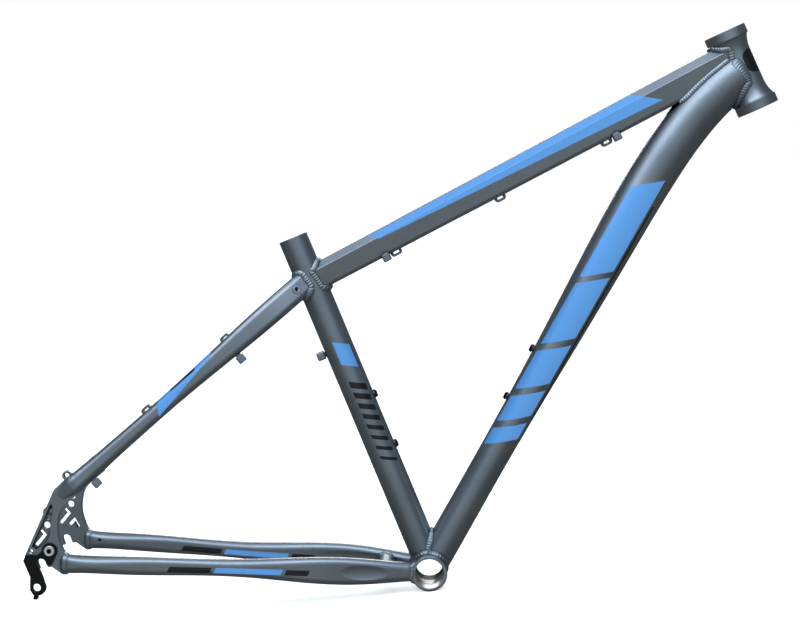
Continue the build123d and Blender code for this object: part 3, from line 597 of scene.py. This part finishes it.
def head_patch(tree, place):
    """A plain black patch with round corners, wrapped over the front of the head tube."""
    colours = bpy.context.scene.frame_colours
    # from the tube's top to the patch's middle, half its height, and its half turn in radians
    middle, half_height, half_turn = 43.0, 14.5, 1.38
    down = run_along(tree, place, HEAD_TOP + HEAD_UP * HEAD_FACE, -HEAD_UP)
    front = run_along(tree, place, HEAD_TOP, HEAD_FRONT)
    side = add_node(tree, "ShaderNodeSeparateXYZ", {0: place}).outputs[1]
    turn = add_node(tree, "ShaderNodeMath", {0: side, 1: front}, operation="ARCTAN2").outputs[0]
    past = add_node(tree, "ShaderNodeMath", {0: down, 1: middle}, operation="SUBTRACT").outputs[0]
    # a superellipse in turn and height: flat sides, round corners
    powers = []
    for size, half in ((turn, half_turn), (past, half_height)):
        share = add_node(tree, "ShaderNodeMath", {0: size, 1: 1 / half}, operation="MULTIPLY").outputs[0]
        even = add_node(tree, "ShaderNodeMath", {0: share}, operation="ABSOLUTE").outputs[0]
        powers.append(add_node(tree, "ShaderNodeMath", {0: even, 1: 4.0}, operation="POWER").outputs[0])
    total = add_node(tree, "ShaderNodeMath", {0: powers[0], 1: powers[1]}, operation="ADD").outputs[0]
    return between(tree, total, -1.0, 1.0), linear(colours.black)


# ---------------------------------------------------------------- bare metal


def seat_tube_mouth(tree, place):
    """The seat tube's reamed bore and sawn top."""
    # the paint stops this far outside the bore, and the sawn face lies 1 mm past the post's mount
    gap, sawn_from, sawn_to = 0.35, 0.9, 5.0
    off = run_off(tree, place, SEAT_FOOT, SEAT_UP)
    top = run_along(tree, place, SEAT_TOP, SEAT_UP)
    bore = mount_size("seatpost", "r_mm") / MM
    return either(tree, between(tree, off, 0.0, bore + gap), between(tree, top, sawn_from, sawn_to))


def head_tube_ends(tree, place):
    """The head tube's faced ends, the seats bored for the headset cups and the passage between them."""
    off = run_off(tree, place, HEAD_TOP, HEAD_UP)
    down = run_along(tree, place, HEAD_TOP, -HEAD_UP)
    length = (HEAD_TOP - HEAD_BOTTOM).length / MM
    # the paint stops this far outside a bore and this far below a face
    gap, skim = 0.25, 0.07
    # a cup's bore is longer than its mount by the chamfer of its mouth, and the bare metal ends past it
    chamfer, past = 0.7, 0.2
    face, beyond = HEAD_FACE / MM, 20.0
    ends = either(
        tree,
        between(tree, down, -beyond, skim - face),
        between(tree, down, length + face - skim, length + beyond),
    )
    cup, passage = mount_size("headset_upper", "r_mm") / MM, mount_size("steerer_passage", "r_mm") / MM
    depth = mount_size("headset_upper", "length_mm") / MM + chamfer + past - face
    seats = either(
        tree, between(tree, down, -face, depth), between(tree, down, length - depth, length + face)
    )
    cups = both(tree, seats, between(tree, off, 0.0, cup + gap))
    return either(tree, ends, cups, between(tree, off, 0.0, passage + gap))


def shell_bore(tree, place):
    """The shell's threaded bore and the chamfer at its mouths."""
    chamfer = 1.0
    off = run_off(tree, place, SHELL, SHELL_AXIS)
    return between(tree, off, 0.0, mount_size("bottom_bracket", "r_mm") / MM + chamfer)


# ---------------------------------------------------------------- meshes


def new_piece(name, points, faces, material, slot, smooth=True):
    """A mesh object that rides on the frame, with its finish. Its slot is not used."""
    mesh = bpy.data.meshes.new(name)
    mesh.from_pydata([tuple(p) for p in points], [], faces)
    work = bmesh.new()
    work.from_mesh(mesh)
    bmesh.ops.recalc_face_normals(work, faces=work.faces)
    work.to_mesh(mesh)
    work.free()
    mesh.polygons.foreach_set("use_smooth", [smooth] * len(mesh.polygons))
    mesh.materials.append(material)
    piece = bpy.data.objects.new(name, mesh)
    bpy.context.scene.collection.objects.link(piece)
    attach(piece, "root")
    return piece


def tube_faces(rings, per_ring, closed):
    """Quads between rings of equal size, one after another, capped at both ends unless they close."""
    faces = []
    for ring in range(rings if closed else rings - 1):
        here, there = ring * per_ring, (ring + 1) % rings * per_ring
        for i in range(per_ring):
            j = (i + 1) % per_ring
            faces.append((here + i, here + j, there + j, there + i))
    if not closed:
        faces.append(tuple(range(per_ring)))
        faces.append(tuple((rings - 1) * per_ring + i for i in range(per_ring)))
    return faces


# two surfaces closer than this touch: it allows for the facets of curved faces
TOUCHING = 0.25 * MM


def skin(name):
    """A CAD node's surface with its seams closed, and a search tree over it."""
    work = bmesh.new()
    work.from_mesh(frame["nodes"][name].data)
    bmesh.ops.remove_doubles(work, verts=work.verts, dist=0.002 * MM)
    work.normal_update()
    return work, BVHTree.FromBMesh(work)


def lies_on(face, tree):
    """Whether a face lies against another surface that faces it."""
    opposed = -0.6
    if any(tree.find_nearest(v.co)[3] > TOUCHING for v in face.verts):
        return False
    return tree.find_nearest(face.calc_center_median())[1].dot(face.normal) < opposed


def outer_skin(tube, tube_tree, wall_trees):
    """The faces of a tube's outside: all that are reached from its largest outward face without crossing a
    sharp edge or a face that lies on a wall.
    """
    sharp, clear, across_tube = math.radians(32), 0.2 * MM, 80 * MM

    def looks_out(face):
        start = face.calc_center_median() + face.normal * clear
        return tube_tree.ray_cast(start, face.normal, across_tube)[0] is None

    first = max((face for face in tube.faces if looks_out(face)), key=lambda face: face.calc_area())
    seen, reached, waiting = {first}, set(), [first]
    while waiting:
        face = waiting.pop()
        if any(lies_on(face, tree) for tree in wall_trees):
            continue
        reached.add(face)
        for edge in face.edges:
            if edge.calc_face_angle(math.pi) < sharp:
                fresh = [other for other in edge.link_faces if other not in seen]
                seen.update(fresh)
                waiting.extend(fresh)
    return reached


def joint_lines(tube, outside, wall_tree, gap, other_trees):
    """Lines along which a tube's outside ends at a wall, each (rows, closed). A row is a point, the tube's
    outward direction there and the way back along the tube. The end may stand off the wall by up to the
    gap, where it meets nothing else.
    """
    apart, shortest, near_enough = 0.4 * MM, 6 * MM, 0.3 * MM

    def at_wall(v):
        distance = wall_tree.find_nearest(v.co)[3]
        if distance < TOUCHING:
            return True
        return distance < gap and all(tree.find_nearest(v.co)[3] > apart for tree in other_trees)

    near = {}
    links, outward, back = {}, {}, {}
    for edge in tube.edges:
        sides = [face for face in edge.link_faces if face in outside]
        if len(sides) != 1 or len(edge.link_faces) != 2:
            continue
        for v in edge.verts:
            if v not in near:
                near[v] = at_wall(v)
        if not all(near[v] for v in edge.verts):
            continue
        here, there = edge.verts
        along = (there.co - here.co).normalized()
        inward = sides[0].calc_center_median() - (here.co + there.co) / 2
        inward = (inward - along * inward.dot(along)).normalized()
        for v, other in ((here, there), (there, here)):
            links.setdefault(v, []).append(other)
            outward[v] = outward.get(v, Vector()) + sides[0].normal
            back[v] = back.get(v, Vector()) + inward
    lines = []
    while links:
        loose = [v for v, ends in links.items() if len(ends) == 1]
        here = loose[0] if loose else next(iter(links))
        line = [here]
        while links.get(here):
            there = links[here].pop()
            links[there].remove(here)
            line.append(there)
            here = there
        for v in [v for v, ends in links.items() if not ends]:
            del links[v]
        rows = np.array([(*v.co, *outward[v].normalized(), *back[v].normalized()) for v in line])
        length = np.linalg.norm(np.diff(rows[:, :3], axis=0), axis=1).sum()
        touches = min(wall_tree.find_nearest(v.co)[3] for v in line) < near_enough
        if length > shortest and touches:
            lines.append((rows, line[0] is line[-1]))
    return lines


def spread(rows, step, closed):
    """Rows at even steps along a line."""
    runs = np.concatenate([[0], np.cumsum(np.linalg.norm(np.diff(rows[:, :3], axis=0), axis=1))])
    count = max(8, int(round(runs[-1] / step)))
    places = np.linspace(0, runs[-1], count, endpoint=not closed)
    return np.stack([np.interp(places, runs, column) for column in rows.T], axis=1)


def eased(values, width, closed):
    """Values averaged with their neighbours along a line."""
    if width < 1:
        return values
    kernel = np.hanning(2 * width + 3)[1:-1]
    kernel /= kernel.sum()
    pad = [(width, width), (0, 0)]
    wide = np.pad(values, pad, mode="wrap" if closed else "edge")
    if not closed:
        # ends keep their slope
        for i in range(width):
            wide[i] = 2 * values[0] - values[min(width - i, len(values) - 1)]
            wide[-1 - i] = 2 * values[-1] - values[max(-1 - (width - i), -len(values))]
    return np.stack(
        [np.convolve(wide[:, i], kernel, mode="valid") for i in range(values.shape[1])], axis=1
    )


def unit(values):
    """Rows scaled to length one."""
    return values / np.maximum(np.linalg.norm(values, axis=1, keepdims=True), 1e-12)


def nearest(tree, places, part):
    """The nearest point (part 0) or its normal (part 1) on a surface for each place."""
    return np.array([tuple(tree.find_nearest(Vector(place))[part]) for place in places])


def weld_bead(name, tube_name, wall_names, material, scale=1.0, gap=0.0, others=()):
    """A welded bead round a tube's end: a fillet from wall to wall, rippled by the filler rod."""
    sizes = bpy.context.scene.weld_sizes
    # lengths over which seam, wall and toes are smoothed, and over which the welder's hand wanders
    seam_ease, wall_ease, toe_ease, hand_ease = (int(run * MM / sizes.step) for run in (1.6, 1.5, 1.0, 5))
    # the width wanders by a tenth and narrows to a quarter at an open end; the bead is sunk in both walls
    wander, end_width, end_run, sunk = 0.1, 0.25, 2.5 * MM, 0.3 * MM
    # how far the toes shift where the tube stands off, and how far a ripple bows along the seam
    lap_back, stand_out, bow = 0.55, 0.9, 0.45
    # a ripple's crest is broader than its valley, and its middle height is taken off
    crest, middle = 0.6, 0.3
    # points across the bead, as shares of the way from the wall to the tube
    share = np.linspace(0.05, 0.95, 11)
    bulge = np.sin(math.pi * share)[None, :]
    tube, tube_tree = skin(tube_name)
    walls = [skin(wall) for wall in wall_names]
    other_skins = [skin(other) for other in others]
    outside = outer_skin(tube, tube_tree, [tree for _, tree in walls + other_skins])
    reach = sizes.reach * scale
    rng = np.random.default_rng(len(name) * 7 + 3)
    points, faces = [], []
    for _, wall_tree in walls:
        for line, closed in joint_lines(tube, outside, wall_tree, gap, [tree for _, tree in other_skins]):
            rows = eased(spread(line, sizes.step, closed), seam_ease, closed)
            seam, tube_side, up_tube = rows[:, :3], unit(rows[:, 3:6]), unit(rows[:, 6:])
            count = len(seam)
            root = nearest(wall_tree, seam, 0)
            wall_side = unit(eased(nearest(wall_tree, seam, 1), wall_ease, closed))
            away = tube_side - up_tube
            up_wall = unit(away - wall_side * np.sum(away * wall_side, axis=1, keepdims=True))
            sway = eased(rng.normal(0, 1, (count, 1)), hand_ease, closed)
            size = reach * (1 + wander * sway / max(np.abs(sway).max(), 1e-9))
            if not closed:
                ends = np.minimum(np.arange(count), np.arange(count)[::-1])[:, None] * sizes.step
                size = size * (end_width + (1 - end_width) * np.sqrt(np.clip(ends / end_run, 0, 1)))
            # where the tube stands off the wall, the bead climbs over its edge
            lap = np.clip(np.sum(wall_side * tube_side, axis=1, keepdims=True), 0, 1)
            stand = np.linalg.norm(seam - root, axis=1, keepdims=True)
            toe_tube = nearest(tube_tree, seam + up_tube * size * (1 - lap_back * lap), 0)
            toe_wall = nearest(wall_tree, root + up_wall * (size + stand_out * stand), 0)
            toe_tube = eased(toe_tube, toe_ease, closed)
            toe_wall = eased(toe_wall, toe_ease, closed)
            out = unit(tube_side + wall_side)
            along = np.arange(count)[:, None] * sizes.step
            pitch = sizes.pitch
            if closed:
                total = count * sizes.step
                pitch = total / max(1, round(total / sizes.pitch))
            # each ripple is an arc across the bead
            phase = along / pitch + bow * (2 * share[None, :] - 1) ** 2
            ripple = np.abs(np.sin(math.pi * phase)) ** crest
            swell = (size / sizes.reach) ** 0.5
            height = (sizes.crown * bulge + sizes.depth * (ripple - middle) * bulge ** 0.5) * swell
            rings = np.empty((count, len(share) + 3, 3))
            rings[:, 0] = root - wall_side * sunk
            rings[:, 1] = toe_wall - wall_side * sunk
            rings[:, -1] = toe_tube - tube_side * sunk
            chord = toe_wall[:, None, :] + (toe_tube - toe_wall)[:, None, :] * share[None, :, None]
            rings[:, 2:-1] = chord + out[:, None, :] * height[:, :, None]
            offset = len(points)
            points.extend(rings.reshape(-1, 3))
            for face in tube_faces(count, rings.shape[1], closed):
                faces.append(tuple(offset + i for i in face))
    for work, _ in walls + other_skins:
        work.free()
    tube.free()
    if not points:
        raise RuntimeError(f"no joint found for {name}")
    return new_piece(name, points, faces, material, "frame_paint")


def inner_thread(name, centre, axis, radius, start, end, pitch, ridge, hand, material, slot):
    """A thread's helical ridge inside a bore, from start to end along the axis."""
    axis = axis.normalized()
    side = axis.orthogonal().normalized()
    other = axis.cross(side) * hand
    turns = (end - start) / pitch
    per_turn, fewest, fade_turns = 48, 24, 0.5
    steps = max(fewest, int(turns * per_turn))
    # the ridge's section: its foot is sunk in the wall and nearly a pitch wide, its crest is narrow
    sunk, half_foot, half_crest = 0.06 * MM, 0.46, 0.07
    profile = ((sunk, -half_foot), (-ridge, -half_crest), (-ridge, half_crest), (sunk, half_foot))
    points = []
    for i in range(steps + 1):
        turn = turns * i / steps
        # the ridge grows out of the wall and fades into it again
        ease = min(1.0, turn / fade_turns, (turns - turn) / fade_turns)
        angle = 2 * math.pi * turn
        outward = side * math.cos(angle) + other * math.sin(angle)
        for inward, shift in profile:
            depth = inward if inward > 0 else inward * ease
            points.append(centre + axis * (start + pitch * (turn + shift)) + outward * (radius + depth))
    return new_piece(
        name, points, tube_faces(steps + 1, len(profile), False), material, slot, smooth=False
    )


# ---------------------------------------------------------------- operators


class FRAME_OT_paint(bpy.types.Operator):
    """Paint the tubes, stays and fittings and lay on the graphics"""

    bl_idname = "bicycle_frame.paint"
    bl_label = "Paint and graphics"

    def execute(self, context):
        plain = wet_paint("satin_metallic_paint")
        wear(plain, *frame["nodes"])
        wear(wet_paint("down_tube_paint", [down_tube_bars, down_tube_line]), "down_tube")
        wear(wet_paint("top_tube_paint", [top_tube_stripe]), "top_tube")
        wear(wet_paint("seat_tube_paint", [seat_tube_bars], [seat_tube_mouth]), "seat_tube")
        wear(wet_paint("chain_stay_paint", [chain_stay_dashes]), "chain_stay_left", "chain_stay_right")
        wear(wet_paint("seat_stay_paint", [seat_stay_blade]), "seat_stay_left", "seat_stay_right")
        wear(wet_paint("head_tube_paint", [head_patch], [head_tube_ends]), "head_tube")
        wear(wet_paint("shell_paint", (), [shell_bore]), "bottom_bracket_shell")
        return {"FINISHED"}


class FRAME_OT_hardware(bpy.types.Operator):
    """Finish the hanger, its bolt and nut, and the bottle bolts"""

    bl_idname = "bicycle_frame.hardware"
    bl_label = "Hanger and bolts"

    def execute(self, context):
        colours = context.scene.frame_colours
        # machined and black anodised aluminium: near black, satin, with soft edges of light
        black = fine_finish("black_anodised_aluminium", "#08090a", colours.anodised, 0.55, 0.36, 0.5, 0.02)
        wear(black, "derailleur_hanger")
        # zinc plated steel: pale grey, low gloss, slightly cloudy
        # the bolt's hexagon socket is painted near black, a painted shade in its recess
        zinc = fine_finish(
            "zinc_plated_steel", "#b9bab6", colours.zinc, 0.75, 0.42, 1.2, 0.02, painted_shade=bolt_socket
        )
        wear(zinc, "hanger_bolt", "hanger_nut")
        # black oxide on steel: dark with an oily sheen
        oxide = fine_finish("black_oxide_steel", "#0c0d0e", colours.oxide, 0.8, 0.4, 0.7, 0.02)
        wear(oxide, "seat_tube_bottle_bolts", "down_tube_bottle_bolts")
        return {"FINISHED"}


class FRAME_OT_welds(bpy.types.Operator):
    """Lay a rippled weld bead round every joint"""

    bl_idname = "bicycle_frame.welds"
    bl_label = "Weld beads"

    def execute(self, context):
        paint = bpy.data.materials["satin_metallic_paint"]
        # the down tube is wider than the head tube's waist, so part of its end stands off it
        down_tube_stand = 8.0 * MM
        weld_bead("weld_head_top_tube", "top_tube", ["head_tube"], paint)
        weld_bead(
            "weld_head_down_tube",
            "down_tube",
            ["head_tube"],
            paint,
            gap=down_tube_stand,
            others=["top_tube"],
        )
        weld_bead("weld_down_tube_top_tube", "down_tube", ["top_tube"], paint, scale=0.85)
        weld_bead("weld_seat_tube_top_tube", "top_tube", ["seat_tube"], paint)
        weld_bead("weld_shell_seat_tube", "seat_tube", ["bottom_bracket_shell"], paint, scale=0.9)
        weld_bead("weld_shell_down_tube", "down_tube", ["bottom_bracket_shell", "seat_tube"], paint)
        for side in ("left", "right"):
            weld_bead(
                f"weld_shell_chain_stay_{side}",
                f"chain_stay_{side}",
                ["bottom_bracket_shell"],
                paint,
                scale=0.85,
            )
            weld_bead(f"weld_seat_stay_seat_tube_{side}", f"seat_stay_{side}", ["seat_tube"], paint)
            for stay in ("chain_stay", "seat_stay"):
                weld_bead(
                    f"weld_{stay}_dropout_{side}",
                    f"{stay}_{side}",
                    [f"dropout_{side}"],
                    paint,
                    scale=0.36,
                )
        for bridge in ("chain_stay", "seat_stay"):
            walls = [f"{bridge}_left", f"{bridge}_right"]
            weld_bead(f"weld_{bridge}_bridge", f"{bridge}_bridge", walls, paint, scale=0.6)
        return {"FINISHED"}


class FRAME_OT_threads(bpy.types.Operator):
    """Cut the threads in the shell, hanger, eyelets and rack bosses"""

    bl_idname = "bicycle_frame.threads"
    bl_label = "Threads"

    def execute(self, context):
        metal = cut_aluminium()
        radius, half = mount_size("bottom_bracket", "r_mm"), mount_size("bottom_bracket", "length_mm") / 2
        # 24 threads to the inch, right handed on the left side and left handed on the drive side
        pitch, deep, lead, ridge = 25.4 / 24 * MM, 25 * MM, 1.2 * MM, 0.5 * MM
        for name, side, hand in (("thread_shell_left", 1, 1), ("thread_shell_right", -1, -1)):
            axis = SHELL_AXIS * side
            start, end = half - deep, half - lead
            inner_thread(name, SHELL, axis, radius, start, end, pitch, ridge, hand, metal, "shell_paint")
        anodised = bpy.data.materials["black_anodised_aluminium"]
        # M10 by 1 in the hanger, M5 by 0.8 in the eyelets and rack bosses
        holes = [("hanger_thread", 1.0 * MM, anodised, "hanger")]
        for name in ("eyelet_right", "eyelet_left", "rack_boss_right", "rack_boss_left"):
            holes.append((name, 0.8 * MM, metal, "frame_paint"))
        # the ridge is lower than its pitch and starts inside the mouth
        lead, ridge_share = 0.6 * MM, 0.45
        for name, pitch, finish, slot in holes:
            place, axis = mount(name)
            radius, start = mount_size(name, "r_mm"), lead - mount_size(name, "length_mm")
            thread, ridge = f"thread_{name}", ridge_share * pitch
            inner_thread(thread, place, axis, radius, start, -lead, pitch, ridge, 1, finish, slot)
        return {"FINISHED"}


def soft_light(name, place, aim, size, watts, colour):
    """A softbox aimed at a point."""
    lamp = bpy.data.lights.new(name, "AREA")
    lamp.shape, lamp.size, lamp.size_y = "RECTANGLE", size[0], size[1]
    lamp.energy = watts
    lamp.color = linear(colour)[:3]
    light = bpy.data.objects.new(name, lamp)
    light.location = place
    light.rotation_euler = (Vector(aim) - Vector(place)).to_track_quat("-Z", "Y").to_euler()
    bpy.context.scene.collection.objects.link(light)
    return light


class FRAME_OT_studio(bpy.types.Operator):
    """Set up the floor, the lights and the camera"""

    bl_idname = "bicycle_frame.studio"
    bl_label = "Studio"

    def execute(self, context):
        scene = context.scene
        sizes = scene.studio_sizes
        # a wide flat sheet of pale paper under the frame
        low, half = cad_box[0][2], 30.0
        mesh = bpy.data.meshes.new("floor")
        mesh.from_pydata([(x, y, low) for y in (-half, half) for x in (-half, half)], [], [(0, 1, 3, 2)])
        material, tree = new_material("studio_paper")
        place = place_mm(tree)
        # paper fibre is 0.1 mm and would not show, so it is drawn at 3 mm
        fibre = add_node(tree, "ShaderNodeTexNoise", {"Vector": place, "Scale": 1 / 3.0, "Detail": 3.0})
        tint = add_node(
            tree,
            "ShaderNodeMix",
            {0: fibre.outputs["Fac"], 6: linear("#f1f1ef"), 7: linear(scene.frame_colours.paper)},
            data_type="RGBA",
        )
        # painted light: the paper glows, brighter away from the frame, standing in for background lamps
        # that are not in the scene
        away = add_node(tree, "ShaderNodeVectorMath", {0: place}, operation="LENGTH").outputs["Value"]
        painted_glow_range = {"Value": away, "From Min": 1400.0, "From Max": 4000.0, "To Min": 0.62, "To Max": 1.05}
        painted_glow = add_node(tree, "ShaderNodeMapRange", painted_glow_range, interpolation_type="SMOOTHSTEP")
        # the paper's emission is painted light, not light from a lamp
        paper = add_node(
            tree,
            "ShaderNodeBsdfPrincipled",
            {
                "Base Color": tint.outputs[2],
                "Roughness": 0.9,
                "Emission Color": linear("#ffffff"),
                "Emission Strength": painted_glow.outputs[0],
            },
        )
        add_node(tree, "ShaderNodeOutputMaterial", {"Surface": paper.outputs[0]})
        mesh.materials.append(material)
        floor = bpy.data.objects.new("floor", mesh)
        scene.collection.objects.link(floor)
        floor.visible_glossy = False

        # name, place, what it is aimed at, width and height, strength, colour
        soft_light("key_softbox", (-0.2, -1.4, 1.95), (0.0, 0.0, 0.3), (2.8, 1.2), sizes.key, "#d8e7fa")
        soft_light("top_softbox", (0.0, 0.1, 2.3), (0.0, 0.0, 0.3), (2.6, 1.2), sizes.top, "#dceafc")
        soft_light("rear_softbox", (0.3, 2.0, 1.2), (0.0, 0.0, 0.25), (1.4, 0.8), sizes.rear, "#ffffff")

        # the room is pale blue overhead, warm grey below and brightest on the wall in front
        world = bpy.data.worlds.new("room")
        world.use_nodes = True
        room = world.node_tree
        room.nodes.clear()
        direction = add_node(room, "ShaderNodeTexCoord").outputs["Generated"]
        toward = add_node(room, "ShaderNodeSeparateXYZ", {0: direction})
        rise = add_node(
            room, "ShaderNodeMapRange", {"Value": toward.outputs[2], "From Min": -0.4, "From Max": 0.5}
        )
        tone = add_node(
            room,
            "ShaderNodeMix",
            {0: rise.outputs[0], 6: linear("#918d82"), 7: linear("#a8bed4")},
            data_type="RGBA",
        )
        # the wall's middle lies above eye level
        tilt = -0.35
        ahead = add_node(
            room,
            "ShaderNodeMath",
            {0: toward.outputs[2], 1: tilt, 2: toward.outputs[1]},
            operation="MULTIPLY_ADD",
        )
        wall = {"Value": ahead.outputs[0], "From Min": -0.45, "From Max": -1.05}
        facing = add_node(room, "ShaderNodeMapRange", wall, interpolation_type="SMOOTHSTEP")
        level = add_node(
            room,
            "ShaderNodeMath",
            {0: facing.outputs[0], 1: sizes.front, 2: sizes.air},
            operation="MULTIPLY_ADD",
        )
        air = add_node(
            room, "ShaderNodeBackground", {"Color": tone.outputs[2], "Strength": level.outputs[0]}
        )
        # the eye sees plain white behind the frame, and the frame reflects the dimmer room
        white = add_node(room, "ShaderNodeBackground", {"Color": linear("#ffffff"), "Strength": 1.0})
        seen = add_node(room, "ShaderNodeLightPath").outputs["Is Camera Ray"]
        walls = add_node(room, "ShaderNodeMixShader", {0: seen, 1: air.outputs[0], 2: white.outputs[0]})
        add_node(room, "ShaderNodeOutputWorld", {"Surface": walls.outputs[0]})
        scene.world = world
        scene.view_settings.view_transform = "Standard"

        forward = Vector((
            -math.sin(sizes.yaw) * math.cos(sizes.pitch),
            math.cos(sizes.yaw) * math.cos(sizes.pitch),
            -math.sin(sizes.pitch),
        ))
        right = forward.cross(Vector((0, 0, 1))).normalized()
        up = right.cross(forward)
        tipped_right = right * math.cos(sizes.roll) - up * math.sin(sizes.roll)
        tipped_up = up * math.cos(sizes.roll) + right * math.sin(sizes.roll)
        turn = Matrix((tipped_right, tipped_up, -forward)).transposed().to_4x4()
        camera = bpy.data.objects.new("camera", bpy.data.cameras.new("camera"))
        camera.data.lens = sizes.lens
        camera.data.sensor_width = 36.0
        camera.data.clip_end = 50.0
        camera.matrix_world = Matrix.Translation((sizes.forward, -sizes.distance, sizes.height)) @ turn
        scene.collection.objects.link(camera)
        scene.camera = camera
        return {"FINISHED"}


class FRAME_PT_panel(bpy.types.Panel):
    """The frame's finishes, welds, threads and studio"""

    bl_idname = "FRAME_PT_panel"
    bl_label = "Bicycle frame"
    bl_space_type = "VIEW_3D"
    bl_region_type = "UI"
    bl_category = "Bicycle Frame"

    def draw(self, context):
        for operator in OPERATORS:
            self.layout.operator(operator.bl_idname)
        for group in GROUPS:
            box = self.layout.box()
            for prop in group.__annotations__:
                box.prop(getattr(context.scene, GROUPS[group]), prop)


GROUPS = {FrameColours: "frame_colours", WeldSizes: "weld_sizes", StudioSizes: "studio_sizes"}
OPERATORS = (FRAME_OT_paint, FRAME_OT_hardware, FRAME_OT_welds, FRAME_OT_threads, FRAME_OT_studio)
CLASSES = (*GROUPS, *OPERATORS, FRAME_PT_panel)


def register():
    for item in CLASSES:
        bpy.utils.register_class(item)
    for group, name in GROUPS.items():
        setattr(bpy.types.Scene, name, PointerProperty(type=group))


def unregister():
    for name in GROUPS.values():
        delattr(bpy.types.Scene, name)
    for item in reversed(CLASSES):
        bpy.utils.unregister_class(item)


def main():
    register()
    bpy.ops.bicycle_frame.paint()
    bpy.ops.bicycle_frame.hardware()
    bpy.ops.bicycle_frame.welds()
    bpy.ops.bicycle_frame.threads()
    bpy.ops.bicycle_frame.studio()


if __name__ == "__main__":
    main()
